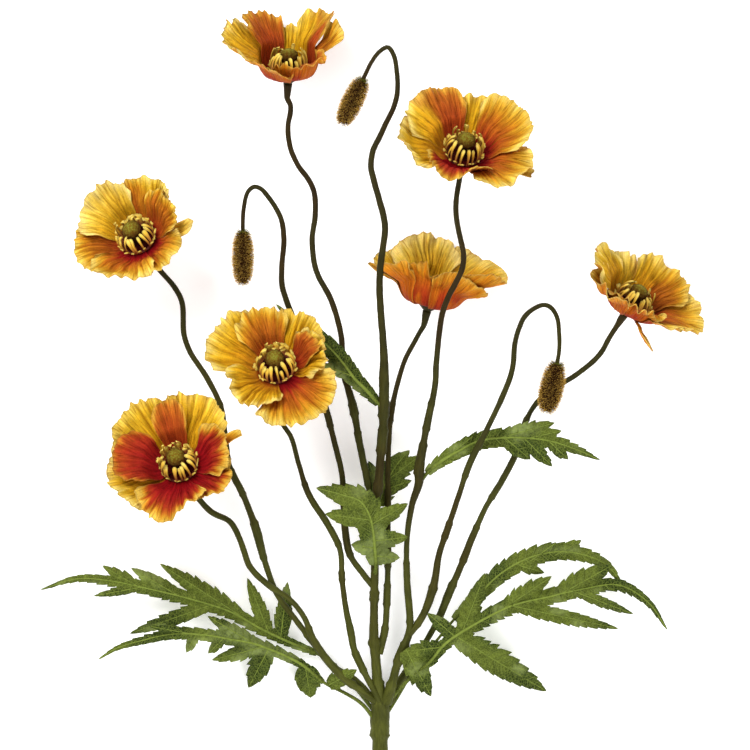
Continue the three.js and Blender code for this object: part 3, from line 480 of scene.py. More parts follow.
def summed(steps):
    """Running sum of steps, from 0."""
    return np.concatenate([[0], np.cumsum(steps)])


def turns(sides, shift=0.0):
    """Angles of the corners round a ring."""
    return 2 * math.pi * (np.arange(sides) + shift) / sides


def distances(points):
    """How far along a line each of its points lies."""
    return summed(np.linalg.norm(np.diff(points, axis=0), axis=1))


def noise(x, y, seed):
    """Smooth random field from -1 to 1, with cells of 1."""
    x, y = np.broadcast_arrays(np.asarray(x, float), np.asarray(y, float))
    table = np.random.default_rng(seed).uniform(-1, 1, (NOISE_CELLS, NOISE_CELLS))
    column, row = np.floor(x).astype(int), np.floor(y).astype(int)
    u, v = ease(x - column), ease(y - row)
    right, above = (column + 1) % NOISE_CELLS, (row + 1) % NOISE_CELLS
    column, row = column % NOISE_CELLS, row % NOISE_CELLS
    near = mix(table[column, row], table[right, row], u)
    far = mix(table[column, above], table[right, above], u)
    return mix(near, far, v)


def spline(points, values=None, step=1.0):
    """Centripetal curve through points: even samples, their distances along it, and the values there."""
    points = np.asarray(points, float)
    ends = np.vstack([2 * points[0] - points[1], points, 2 * points[-1] - points[-2]])
    dense, marks = [points[0]], [0.0]
    for i in range(1, len(ends) - 2):
        p0, p1, p2, p3 = ends[i - 1:i + 3]
        d0, d1, d2 = (max(np.linalg.norm(b - a), 1e-6) ** 0.5 for a, b in ((p0, p1), (p1, p2), (p2, p3)))
        t1 = ((p1 - p0) / d0 - (p2 - p0) / (d0 + d1) + (p2 - p1) / d1) * d1
        t2 = ((p2 - p1) / d1 - (p3 - p1) / (d1 + d2) + (p3 - p2) / d2) * d1
        square, cube = 3 * (p2 - p1) - 2 * t1 - t2, 2 * (p1 - p2) + t1 + t2
        for w in np.arange(1, SPLINE_CUTS + 1) / SPLINE_CUTS:
            dense.append(p1 + t1 * w + square * w ** 2 + cube * w ** 3)
            marks.append(i - 1 + w)
    dense = np.array(dense)
    run = distances(dense)
    at = np.linspace(0, run[-1], max(3, int(run[-1] / step) + 1))
    samples = np.stack([np.interp(at, run, dense[:, k]) for k in range(3)], axis=-1)
    mark = np.interp(at, run, marks)
    return samples, at, None if values is None else np.interp(mark, np.arange(len(values)), values)


def smooth_profile(corners):
    """Fine smooth outline through the (radius, height) corners of a profile."""
    return spline([(*corner, 0) for corner in corners], None, PROFILE_STEP)[0][:, :2]


def frame_at(origin, up, side):
    """Points at a radius, an angle and a height about an axis. The angle starts at the side given."""
    side = unit(side - up * up.dot(side))
    other = np.cross(up, side)

    def at(radius, angle, height):
        radius, angle, height = np.broadcast_arrays(radius, angle, height)
        across = radius[..., None] * (np.cos(angle)[..., None] * side + np.sin(angle)[..., None] * other)
        return origin + across + height[..., None] * up

    return at


# Closed bodies. A body is its points, its faces, and a tint and a grain for each point.

def body(points, faces, tint, grain):
    points = np.asarray(points, float).reshape(-1, 3)
    tint = np.broadcast_to(np.asarray(tint, float).reshape(-1, 3), points.shape)
    grain = np.broadcast_to(np.asarray(grain, float).reshape(-1, 3), points.shape)
    return {"points": points, "faces": faces, "tint": tint, "grain": grain}


def strip(first, second):
    """Quads between two rows of corners."""
    return np.stack([first[:-1], second[:-1], second[1:], first[1:]], axis=-1)


def sheet(grid, thickness, tint, under, grain):
    """Cloth of a thickness on a grid of points, with a tint for its upper and its lower face."""
    rows, columns = grid.shape[:2]
    normal = unit(np.cross(np.gradient(grid, axis=0), np.gradient(grid, axis=1)))
    half = normal * (np.broadcast_to(thickness, (rows, columns)) / 2)[..., None]
    top = np.arange(rows * columns).reshape(rows, columns)
    low = top + rows * columns
    faces = [
        np.stack([top[:-1, :-1], top[1:, :-1], top[1:, 1:], top[:-1, 1:]], axis=-1).reshape(-1, 4),
        np.stack([low[:-1, :-1], low[:-1, 1:], low[1:, 1:], low[1:, :-1]], axis=-1).reshape(-1, 4),
        strip(low[:, 0], top[:, 0]), strip(top[:, -1], low[:, -1]),
        strip(top[0], low[0]), strip(low[-1], top[-1]),
    ]
    colours = np.concatenate([np.broadcast_to(c, grid.shape).reshape(-1, 3) for c in (tint, under)])
    grains = np.concatenate([np.broadcast_to(grain, grid.shape).reshape(-1, 3)] * 2)
    points = np.concatenate([(grid + half).reshape(-1, 3), (grid - half).reshape(-1, 3)])
    return body(points, faces, colours, grains)


def loft(rings, tint, grain):
    """Closed skin through rings of equally many points, with a fan over each end."""
    count, sides = rings.shape[:2]
    index = np.arange(count * sides).reshape(count, sides)
    after = np.roll(index, -1, axis=1)
    low, high = count * sides, count * sides + 1
    around = np.stack([index[:-1], after[:-1], after[1:], index[1:]], axis=-1).reshape(-1, 4)
    ends = [
        np.stack([np.full(sides, low), after[0], index[0]], axis=-1),
        np.stack([np.full(sides, high), index[-1], after[-1]], axis=-1),
    ]
    points = np.vstack([rings.reshape(-1, 3), rings[0].mean(0), rings[-1].mean(0)])

    def spread(value):
        value = np.broadcast_to(value, rings.shape)
        return np.vstack([value.reshape(-1, 3), value[0].mean(0), value[-1].mean(0)])

    return body(points, [around, *ends], spread(tint), spread(grain))


def tube(samples, radii, sides, tint, grain_seed=0.0):
    """Round tube along samples; its grain runs round it and along it."""
    along = unit(np.gradient(samples, axis=0))
    side = np.array([0.0, 0.0, 1.0])
    frames = []
    for direction in along:
        side = unit(side - direction * side.dot(direction))
        frames.append((side, np.cross(direction, side)))
    frames = np.array(frames)
    turn = turns(sides, 0.5)
    spokes = frames[:, 0, None] * np.cos(turn)[:, None] + frames[:, 1, None] * np.sin(turn)[:, None]
    radii = np.broadcast_to(np.asarray(radii, float).reshape(len(samples), -1), (len(samples), sides))
    rings = samples[:, None] + spokes * radii[..., None]
    across, up = np.cos(turn)[None] * radii.mean(), np.sin(turn)[None] * radii.mean() + grain_seed
    grain = np.stack(np.broadcast_arrays(across, up, distances(samples)[:, None]), axis=-1)
    return loft(rings, np.asarray(tint, float).reshape(-1, 1, 3), grain)


def turned(profile, sides, frame_of, tint, ripple=None):
    """Body of revolution of (radius, height) about a frame, with an optional ripple of its radius."""
    turn = turns(sides)
    rings = []
    for i, (radius, height) in enumerate(profile):
        r = np.full(sides, float(radius))
        if ripple is not None:
            r = r + ripple(turn, i / (len(profile) - 1)) * min(1, radius)
        rings.append(frame_of(r, turn, np.full(sides, float(height))))
    rings = np.array(rings)
    return loft(rings, tint, rings)


# Pieces

def add_piece(node, kind, bodies, material):
    """One object from bodies, which stands for a node of the frame."""
    name = f"{node}_{kind}"
    shift, faces = 0, []
    for each in bodies:
        faces += [face for group in each["faces"] for face in (group + shift).tolist()]
        shift += len(each["points"])
    points, tints, grains = (np.concatenate([b[key] for b in bodies]) for key in ("points", "tint", "grain"))
    mesh = bpy.data.meshes.new(name)
    mesh.from_pydata((points + ORIGIN) * MM, [], faces)
    mesh.polygons.foreach_set("use_smooth", np.ones(len(faces), bool))
    tint = mesh.attributes.new("tint", "FLOAT_COLOR", "POINT")
    tint.data.foreach_set("color", np.hstack([tints, np.ones((len(tints), 1))]).ravel())
    grain = mesh.attributes.new("grain", "FLOAT_VECTOR", "POINT")
    grain.data.foreach_set("vector", grains.ravel())
    mesh.materials.append(material)
    piece = bpy.data.objects.new(name, mesh)
    bpy.context.scene.collection.objects.link(piece)
    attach(piece, "root")
    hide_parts(node)


# Petals

def bloom_frame(bloom):
    """Frame over a bloom's receptacle, whose angle starts to the right."""
    return frame_at(place(*bloom["centre"]), unit(np.array(bloom["facing"], float)), np.array([1.0, 0, 0]))


def lift_at(petals, bearing):
    """Lift of a bloom's surface, in degrees, smoothly between the lifts of its broad petals."""
    total, weight = 0.0, 0.0
    for middle, _, lift, half, _, _ in petals:
        if half >= NARROW:
            away = (bearing - middle + 540) % 360 - 180
            pull = np.exp(-(away / LIFT_SPREAD) ** 2)
            total, weight = total + pull * lift, weight + pull
    return total / weight


def ruffle(bearing, t, cells, seed):
    """Quick waves of a petal's rim from -1 to 1, strong in places and nearly calm in others."""
    phase = bearing / FRILL_PITCH + 1.1 * noise(t * 2 * cells + 11, 0.5, seed)
    return np.sin(2 * math.pi * phase) * (0.5 + 0.8 * noise(t * 2.6 * cells + 31, 0.5, seed + 1))


def tone_colour(tone, where, t, seed):
    """Colours of a petal's inner face. A double tone passes from one side of the petal to the other."""
    first, _, last = tone.partition("+")
    near = ramp(TONES[first], where)
    if not last:
        return near
    over = ease(0.25 + 1.6 * t + 0.5 * noise(t * 4 + 3, where * 2, seed + 16))
    return mix(near, ramp(TONES[last], where), over[..., None])


def pleating(tone):
    """How deep a petal of this tone is folded. A double tone folds like its first."""
    return PLEATS[tone.partition("+")[0]]


def teeth(t, cells, quick, seed):
    """Share of a petal's length by which its ragged rim stands out or is cut back."""
    broad = BROAD_TEETH * (0.35 - np.abs(noise(t * 6 * cells + 20, 0.5, seed + 1))) + 0.02 * quick
    return broad + FINE_TEETH * (0.3 - np.abs(noise(t * 17 * cells + 40, 0.5, seed)))


def petal_marks(s, t, cells, seed):
    """Folds along a petal, the fine creases between them, and the ripples across, from -1.5 to 1.1."""
    drift = 0.6 * noise(t * 3 + 50, s * 2.5, seed + 5)
    folds = 1.1 - 2.6 * np.abs(noise(t * 9 * cells + drift + 30, s * 1.4, seed + 6))
    creases = noise(t * 22 * cells + 2 * drift + 10, s * 5, seed + 7)
    ripples = noise(t * 6 * cells + 3, s * 15 + drift, seed + 12)
    return folds, creases, ripples


def petal_tints(tone, smooth, places, quick, marks, seed):
    """Colours of a petal's inner and outer face, with painted shade in its folds and painted highlight on
    its crests, and how near the rim each point is.
    """
    s, t, cells, far, run, bearing = places
    folds, creases, ripples = marks
    # Painted shade in the folds, creases and ripples and in the troughs of the rim's quick waves, and
    # painted highlight on the crests; the shade is redder and the highlight warmer
    shade = 1 + 0.12 * quick * ease((far - 0.45) / 0.55)
    shade = shade + 0.13 * folds * pleating(tone) ** 0.5 + 0.12 * creases + 0.08 * ripples
    shade = np.clip(shade, 0.45, 1.5)[..., None]
    painted_shading = np.where(shade > 1, shade ** np.array([1.0, 0.95, 0.8]), shade ** np.array([0.7, 1.0, 1.5]))

    # The inner face keeps one tone up to its gold rim, which fingers of the tone run into
    fingers = 0.1 * noise(t * 12 * cells + 5, s * 1.5, seed + 8)
    fingers = fingers + 0.06 * noise(t * 36 * cells, s * 2, seed + 9)
    where = far + fingers * ease(far / 0.2) + 0.22 * np.abs(t) ** 4 * far
    inner = tone_colour(tone, np.clip(where, 0, 1), t, seed) * painted_shading
    inner = mix(colour(THROAT), inner, ease((run - THROAT_RADIUS) / 3)[..., None])

    # The outer face is orange, with a blush of crimson low down, and most of the inner face's painted shade
    # and highlight
    outer = ramp(OUTSIDE, np.clip(far + 1.3 * fingers, 0, 1))
    blush = ease((noise(bearing / 16, far * 2 + 5, seed + 18) + 0.1) / 0.5) * ease((0.6 - far) / 0.35)
    outer = mix(outer, colour(BLUSH), 0.75 * blush[..., None]) * mix(1, painted_shading, 0.8)
    edge = np.clip(ease((s - 0.965) / 0.035) + ease((np.abs(t) - 0.98) / 0.02) * far, 0, 1)[..., None]
    share = 0.12 if smooth or tone == "ember" else 0.32
    return mix(inner, colour(RIM), share * edge), mix(outer, colour(RIM), share * edge), edge[..., 0]


def petal(bloom, at, index, seed):
    """A fan of creased cloth that turns up from the flat middle of its bloom to a waved and ragged rim."""
    azimuth, length, lift, half, layer, tone = bloom["petals"][index]
    narrow, smooth = half < NARROW, layer > 1
    cells = half / USUAL_HALF
    rows, columns = FLAP_MESH if narrow else PETAL_MESH
    s = np.linspace(0, 1, rows)[:, None]
    t = np.linspace(-1, 1, columns)[None]
    ragged = bloom["ragged"] * (0.7 if smooth else 1)
    quick = ruffle(azimuth + half * t, t, cells, seed + 14)
    rounding = FLAP_ROUNDING if narrow else RIM_ROUNDING + 0.12 * smooth
    outline = 1 - rounding * np.abs(t) ** 3 - 0.05 * np.abs(t) ** 10
    reach = length * (outline + ragged * teeth(t, cells, quick, seed))
    run = mix(PETAL_ROOT, reach, s)
    far = np.clip((run - FLOOR_RADIUS) / (reach - FLOOR_RADIUS), 0, 1)
    sway = SWAY * noise(s * 4, t * 1.2 + 9, seed + 2) * far
    bearing = azimuth + half * t * mix(ROOT_WIDTH, 1, far) + sway
    level = lift + 0 * bearing if narrow else lift_at(bloom["petals"], bearing) + layer * LAYER_LIFT
    calm = 0.4 if smooth else 1 - 0.8 * t ** 4
    curl = ease((far - 0.6) / 0.4) * (CURL * noise(t * 2.2 * cells + 7, 0.5, seed + 3) + 2) * calm
    rise = np.radians(level * ease((run - FLOOR_RADIUS) / RISE) + curl)

    # Heights of the waves, folds and creases over the smooth surface
    marks = petal_marks(s, t, cells, seed)
    folds, creases, ripples = marks
    swell = np.sin(np.radians(RUFFLES * bearing + bloom["phase"]))
    slow = 0 if narrow else RUFFLE * ease((far - 0.2) / 0.8) * swell
    frill = FRILL * mix(0.3, 1, ragged) * ease((far - 0.45) / 0.55) * quick
    pleat = PLEAT * pleating(tone) * ease(far / 0.35) * folds
    crinkle = CRINKLE * ease(far / 0.2) * (creases + 0.9 * ripples)
    wave = slow + frill + pleat + crinkle
    grid = at(
        run * np.cos(rise) - wave * np.sin(rise),
        np.radians(bearing),
        run * np.sin(rise) + wave * np.cos(rise) + layer * LAYER,
    )
    grid[..., 2] = np.maximum(grid[..., 2], PETAL_CLOTH)
    inner, outer, edge = petal_tints(tone, smooth, (s, t, cells, far, run, bearing), quick, marks, seed)
    grain = np.stack(np.broadcast_arrays(bearing - azimuth, run, float(seed)), axis=-1)
    return sheet(grid, PETAL_CLOTH * mix(1.0, 0.5, edge), inner, outer, grain)


def receptacle(at):
    """Dark cup that the petals, filaments and capsule stand on, closed underneath by a green cap."""
    cap = turned(CAP_PROFILE, CUP_SIDES, at, colour(CAP_GREEN))
    return [cap, turned(CUP_PROFILE, CUP_SIDES, at, colour(CUP_RED))]


def make_petals(bloom, number, material):
    """A bloom's petals on their receptacle."""
    at = bloom_frame(bloom)
    bodies = [petal(bloom, at, i, 1000 * number + 20 * i) for i in range(len(bloom["petals"]))]
    add_piece(f"bloom_{number}_petals", "silk", bodies + receptacle(at), material)


# Filaments and capsule

def strap(at, angle, form, random):
    """Flat filament that stands on the ring, curves in or out and ends in a blunt, wider tip."""
    length, half_width, bend = form
    rows, columns = STRAP_MESH
    u = np.linspace(0, 1, rows)
    v = np.linspace(-1, 1, columns)[None]
    lean = mix(-0.2, bend, u ** 1.5)
    step = length / (rows - 1)
    radius = RING_RADIUS + 0.5 - summed(np.sin(lean[:-1]) * step)
    height = SEAT + 0.4 + summed(np.cos(lean[:-1]) * step)
    half = half_width * np.interp(u, *zip(*STRAP_WIDTHS))
    twist = random.uniform(-1, 1)
    notch = random.uniform(0.3, 1.3) * (1 - v ** 2) * ease((u[:, None] - 0.85) / 0.15)
    grid = at(
        radius[:, None] + 0.5 * v ** 2 + 0.4 * twist * v * u[:, None],
        angle + (half[:, None] * v + 1.3 * twist * u[:, None] ** 2) / np.maximum(radius[:, None], 6),
        height[:, None] - 0.5 * notch * math.cos(bend),
    )[:, ::-1]
    thickness = 0.8 * np.sqrt(1 - 0.75 * v ** 2) + 0 * u[:, None]
    dim = random.uniform(0.88, 1.12)
    tint = ramp(STRAP_TINTS, u + 0.1 * random.uniform(-1, 1))[:, None] * dim
    # Painted shade towards the strap's sides, as on a rounded strap
    tint = tint * (1 - 0.25 * v[..., None] ** 2)
    return sheet(grid, thickness, tint, tint, grid)


def ring_faces(count, sides):
    """Faces of a closed ring whose section has count corners."""
    index = np.arange(count * sides).reshape(count, sides)
    after = np.roll(index, -1, axis=1)
    below, beside = np.roll(index, -1, axis=0), np.roll(after, -1, axis=0)
    return np.stack([index, after, beside, below], axis=-1).reshape(-1, 4)


def make_stamens(bloom, number, material):
    """A ring of straps that close round the capsule, and a fringe that flares outside, broadest behind."""
    at = bloom_frame(bloom)
    random = np.random.default_rng(700 + number)
    rings = np.array([at(RING_RADIUS + out, turns(RING_SIDES), SEAT + up) for out, up in RING_SECTION])
    bodies = [body(rings, [ring_faces(len(RING_SECTION), RING_SIDES)], colour(RING_RED), rings)]
    for i in range(STRAPS):
        angle = 2 * math.pi * (i + 0.5 + random.uniform(-0.36, 0.36)) / STRAPS
        bend = random.uniform(0.45, 1.25)
        form = (STRAP_LENGTH * random.uniform(0.66, 1.04), STRAP_HALF * random.uniform(0.7, 1.35), bend)
        bodies.append(strap(at, angle, form, random))
    for i in range(FRINGE):
        angle = 2 * math.pi * (i + 0.5 + random.uniform(-0.4, 0.4)) / FRINGE
        back = 0.5 + 0.5 * math.sin(angle)
        long, wide = mix(*FRINGE_LENGTH, back), mix(*FRINGE_HALF, back)
        flare = -random.uniform(0.2, mix(1.7, 1.1, back))
        form = (long * random.uniform(0.6, 1.2), wide * random.uniform(0.7, 1.25), flare)
        bodies.append(strap(at, angle, form, random))
    add_piece(f"bloom_{number}_stamens", "straps", bodies, material)


def make_capsule(bloom, number, material):
    """Knobbly dome with faint ribs and a flat lid."""
    at = bloom_frame(bloom)
    shares = [*smooth_profile(CAPSULE_PROFILE), *CAPSULE_LID]
    profile = [(r * CAPSULE_RADIUS, SEAT + h * CAPSULE_HEIGHT) for r, h in shares]

    def ripple(turn, share):
        knobs = noise(turn * 26 / (2 * math.pi) + 61, share * 22, 900 + number)
        return RIB_HEIGHT * np.cos(RIBS * turn) * ease(share * 2) + KNOB_HEIGHT * knobs

    tint = ramp(CAPSULE_TINTS, np.linspace(0, 1, len(profile)))
    dome = turned(profile, CAPSULE_SIDES, at, tint[:, None], ripple)
    add_piece(f"bloom_{number}_capsule", "dome", [dome], material)


# Stems and buds

def stem_tint(samples, run, seed):
    """Olive at the foot, darker up the spray, and brown in places, row by row."""
    green = mix(colour(STEM_LOW), colour(STEM_HIGH), ease((samples[:, 1] + 20) / 420)[:, None])
    brown = ease(0.2 + 1.1 * noise(run / 45, 0.3, seed)) * ease((samples[:, 1] - 30) / 150)
    worn = 1 + 0.2 * noise(run / 8, 0.7, seed + 1)
    return mix(green, colour(STEM_BROWN), 0.55 * brown[:, None]) * worn[:, None]


def stem_body(points, radii, seed):
    """Round stem with uneven sides. Low on the spray it wears sleeves, each with a lip at its ends."""
    samples, run, radius = spline(points, radii, STEM_STEP)
    turn = np.linspace(0, 6, STEM_SIDES, endpoint=False)[None]
    along = run[:, None]
    wobble = 1 + 0.05 * noise(along / 5, turn, seed + 2) + 0.03 * noise(along / 2, turn, seed)
    low = samples[:, 1] < SLEEVED
    sleeved = (low & (noise(run / 17, 0.9, seed + 3) > 0.05)).astype(float)
    lip = np.abs(np.gradient(sleeved))
    radius = radius * (1 + (SLEEVE - 1) * (sleeved - 0.35 * low + 0.8 * lip))
    return tube(samples, radius[:, None] * wobble, STEM_SIDES, stem_tint(samples, run, seed), seed)


def make_stem(node, route, seed, material):
    """Stem along its route, which starts in a collar if it has a bloom. None of it passes into the floor."""
    points, radii = [place(*p[:3]) for p in route], [p[3] for p in route]
    if node.startswith("bloom"):
        at = bloom_frame(BLOOMS[int(node.split("_")[1]) - 1])
        points = [at(0.0, 0.0, RECEPTACLE_BOTTOM - GAP - below) for below, _ in COLLAR] + points
        radii = [radius for _, radius in COLLAR] + radii
    piece = stem_body(points, radii, seed)
    piece["points"][:, 2] = np.maximum(piece["points"][:, 2], 0)
    add_piece(node, "bark", [piece], material)


def bud_frame(top, tip):
    """Frame of a bud that hangs from its stem's end, and the bud's length."""
    end, last = place(*top), place(*tip)
    up = unit(last - end)
    start = end + up * BUD_SEAM
    return frame_at(start, up, np.array([0, 0, 1.0])), np.linalg.norm(last - start)


def bud_hairs(at, outline, core_radius, length, seed):
    """Coat of three-sided hairs that point out and to the tip, dark at the root and golden at the end."""
    random = np.random.default_rng(seed)
    share = random.uniform(0.0, 0.995, BUD_HAIRS)
    turn = random.uniform(0, 2 * math.pi, BUD_HAIRS)
    r = np.interp(share, outline[:, 1], outline[:, 0]) * core_radius
    keep = random.uniform(0, 1, BUD_HAIRS) < (r + 1.0) / (core_radius + 1.0)
    share, turn, r = share[keep], turn[keep], r[keep]
    slope = np.gradient(outline[:, 0] * core_radius, outline[:, 1] * length)
    out = np.arctan2(1, -np.interp(share, outline[:, 1], slope))
    tilt = out * 0.95 + random.normal(0, HAIR_STRAY, len(r))
    size = HAIR_LENGTH * random.uniform(0.6, 1.15, len(r))
    yaw = random.normal(0, HAIR_STRAY, len(r)) * size / np.maximum(r, 2)
    base = at(r - 0.1, turn, share * length)
    end = at(r + size * np.sin(tilt), turn + yaw, share * length + size * np.cos(tilt))
    along = unit(end - base)
    side = unit(np.cross(along, OBLIQUE))
    other = np.cross(along, side)
    spokes = [side * math.cos(a) + other * math.sin(a) for a in (0, 2.094, 4.189)]
    corners = [mix(base, end, u) + HAIR_RADIUS * thick * spoke for u, thick, _ in HAIR for spoke in spokes]
    first = 9 * np.arange(len(r))[:, None]
    walls = [(k + i, k + (i + 1) % 3, k + 3 + (i + 1) % 3, k + 3 + i) for k in (0, 3) for i in range(3)]
    ends = [(0, 2, 1), (6, 7, 8)]
    faces = [np.concatenate([first + np.array(f) for f in group]) for group in (ends, walls)]
    tints = np.stack([colour(code) for _, _, code in HAIR for _ in range(3)])
    tints = mix(tints, colour(BUD_NECK), 0.7 * ease(1 - share / 0.12)[:, None, None])
    tints = tints * random.uniform(0.6, 1.2, (len(r), 1, 1))
    points = np.stack(corners, axis=1).reshape(-1, 3)
    return body(points, faces, tints.reshape(-1, 3), points)


def make_bud(node, top, tip, radius, seed, material):
    """Dark ovoid core under a coat of hairs that stand out from it, green where the stem joins."""
    at, length = bud_frame(top, tip)
    outline = smooth_profile(BUD_PROFILE)
    core_radius = radius - 0.8 * HAIR_LENGTH
    length = length - 0.6 * HAIR_LENGTH
    profile = [(max(r * core_radius, 0.2), h * length) for r, h in outline]

    def ripple(turn, share):
        return 0.25 * noise(turn * 5, share * 14, seed)

    tint = ramp(BUD_CORE, np.linspace(0, 1, len(profile)))
    core = turned(profile, BUD_SIDES, at, tint[:, None], ripple)
    hairs = bud_hairs(at, outline, core_radius, length, seed)
    add_piece(node, "fur", [core, hairs], material)


# Leaves

def half_widths(share, half, fullness):
    """Half widths of a blade along its line, down to its tip. The fuller it is, the wider it starts."""
    return LEAST_HALF + half * np.sin(math.pi * mix(fullness, 1, share)) ** 0.8


def field(plan, cell, seed):
    """Noise over points of a plan, with cells of this size."""
    return noise(plan[:, 0] / cell, plan[:, 1] / cell, seed)


def headings(samples):
    """Unit ways along a line in plan, and across it to its left."""
    along = unit(np.gradient(samples[:, :2], axis=0))
    return along, np.stack([-along[:, 1], along[:, 0]], axis=-1)


def toothed_outline(samples, run, half, seed):
    """Outline round a middle line, with uneven teeth that point to its tip, deeper on one of its sides."""
    along, outward = headings(samples)
    random = np.random.default_rng(seed)
    depths = random.permutation([0.45, 1.0])
    sides = []
    for sign, depth in zip((-1, 1), depths):
        edge = []
        start = 0.0
        while start < run[-1] - 2:
            pitch = min(TOOTH * random.uniform(0.65, 1.4), run[-1] - start)
            deep = depth * random.uniform(0.5, 1.2)
            for share, rise, forward in TOOTH_CORNERS:
                at = start + share * pitch
                spot, out, ahead = (
                    np.array([np.interp(at, run, values[:, i]) for i in (0, 1)])
                    for values in (samples, outward, along)
                )
                wide = np.interp(at, run, half)
                step = sign * out * wide * (1 + rise * deep)
                edge.append(spot + step + ahead * (forward * deep) * min(pitch, wide))
            start += pitch
        sides.append(edge)
    return sides[0] + [samples[-1, :2] + along[-1] * 0.8] + sides[1][::-1]


def leaf_lines(rib, start, width, lobes):
    """Middle lines of a leaf's rib and lobes, each with its distances and half widths."""
    samples, run, _ = spline([place(*p) for p in rib])
    bladed = run >= start * run[-1]
    share = (run[bladed] / run[-1] - start) / (1 - start)
    lines = [(samples[bladed], run[bladed] - run[bladed][0], half_widths(share, width * MM_PER_PIXEL, 0.1))]
    for root, tip, lobe in lobes:
        a, b = place(*root), place(*tip)
        bow = (a + b) / 2 + np.array([0, 0, np.linalg.norm(b - a) * LOBE_BOW])
        points, along, _ = spline([a, bow, b])
        lines.append((points, along, half_widths(along / along[-1], lobe * MM_PER_PIXEL, 0.2)))
    return samples, run, lines


def leaf_height(lines, seed):
    """Height of a leaf over points of its plan. The blade beside each line folds and tilts its own way."""
    random = np.random.default_rng(seed + 70)
    ribs = np.vstack([samples[::4] for samples, _, _ in lines])
    ways = np.vstack([headings(samples)[0][::4] for samples, _, _ in lines])
    folds, tilts = [], []
    for samples, _, _ in lines:
        count = len(samples[::4])
        folds.append(np.full(count, random.uniform(-0.8, 0.25)))
        tilts.append(np.full(count, random.uniform(-0.55, 0.55)))
    folds, tilts = np.concatenate(folds), np.concatenate(tilts)

    def at(plan):
        offset = plan[:, None] - ribs[None, :, :2]
        away = np.linalg.norm(offset, axis=-1)
        beside = offset[..., 1] * ways[None, :, 0] - offset[..., 0] * ways[None, :, 1]
        beside = np.clip(beside, -LEAF_REACH, LEAF_REACH)
        pull = (away ** 2 + 2) ** -2.0
        high = ribs[:, 2] + folds * np.minimum(away, LEAF_REACH) + tilts * beside
        return (pull * high).sum(1) / pull.sum(1)

    return at


def leaf_mesh(lines, seed):
    """Plan and triangles of a blade: the toothed outlines of its lines, filled with points."""
    outlines = [toothed_outline(*line, seed + i) for i, line in enumerate(lines)]
    corners = [Vector(p) for outline in outlines for p in outline]
    starts = summed([len(outline) for outline in outlines])
    loops = [list(range(a, b)) for a, b in zip(starts, starts[1:])]
    (left, low), (right, high) = (find([tuple(c) for c in corners], axis=0) for find in (np.min, np.max))
    columns, rows = np.meshgrid(np.arange(left, right, LEAF_CELL), np.arange(low, high, LEAF_CELL))
    inside = np.stack([columns, rows], axis=-1).reshape(-1, 2)
    inside = inside + np.random.default_rng(seed).uniform(-0.25, 0.25, inside.shape) * LEAF_CELL
    nearest = np.full(len(inside), np.inf)
    for samples, _, half in lines:
        away = np.linalg.norm(inside[:, None] - samples[None, :, :2], axis=-1) - half[None] * 1.2
        nearest = np.minimum(nearest, away.min(1))
    found = delaunay_2d_cdt(corners + [Vector(p) for p in inside[nearest < 0]], [], loops, 1, 1e-4)
    plan = np.array([tuple(v) for v in found[0]])
    triangles = np.array([f for f in found[2] if len(f) == 3])
    a, b, c = (plan[triangles[:, k]] for k in range(3))
    area = (b[:, 0] - a[:, 0]) * (c[:, 1] - a[:, 1]) - (b[:, 1] - a[:, 1]) * (c[:, 0] - a[:, 0])
    triangles[area < 0] = triangles[area < 0][:, ::-1]
    return plan, triangles[np.abs(area) > 1e-6]


def leaf_relief(plan, lines):
    """Blade's rise between the side veins of the nearest line, how near the line is, and on which side."""
    nearest = np.full(len(plan), np.inf)
    rise, side = np.zeros(len(plan)), np.zeros(len(plan))
    every = np.arange(len(plan))
    for samples, run, _ in lines:
        offset = plan[:, None] - samples[None, :, :2]
        away = np.linalg.norm(offset, axis=-1)
        which = away.argmin(1)
        distance, offset = away[every, which], offset[every, which]
        way = headings(samples)[0][which]
        beside = way[:, 0] * offset[:, 1] - way[:, 1] * offset[:, 0]
        wave = np.cos(2 * math.pi * (run[which] - 0.8 * distance) / VEIN_STEP) * ease(distance / 3)
        closer = distance < nearest
        rise[closer] = wave[closer]
        side[closer] = np.clip(beside / 1.5, -1, 1)[closer]
        nearest = np.minimum(nearest, distance)
    return rise, nearest, side


def leaf_tints(plan, rise, side, seed):
    """Colours of a blade's upper and lower face: slow patches, painted shade along its veins, painted sheen
    in pale patches, and painted light on one half of each fold and painted shade on the other.
    """
    mottle = field(plan, 7, seed)[:, None]
    wide = ease(0.5 + 0.9 * field(plan, 22, seed + 5))[:, None]
    top = mix(colour(LEAF_DARK), colour(LEAF_LIGHT), wide)
    # Painted shade where the blade dips along its side veins
    top = top * (1 + 0.1 * mottle) * (1 - 0.16 * rise[:, None])
    # Painted sheen in pale patches, then painted light on one side of each line's fold and painted shade on
    # the other
    pale = ease((field(plan, 15, seed + 9) - 0.3) / 0.4)[:, None]
    top = mix(top, colour(LEAF_PAINTED_SHEEN), 0.55 * pale) * (1 + 0.13 * side[:, None])
    dull, bright = (colour(code) for code in LEAF_UNDER)
    return top, mix(dull, bright, 0.5 + 0.5 * mottle)


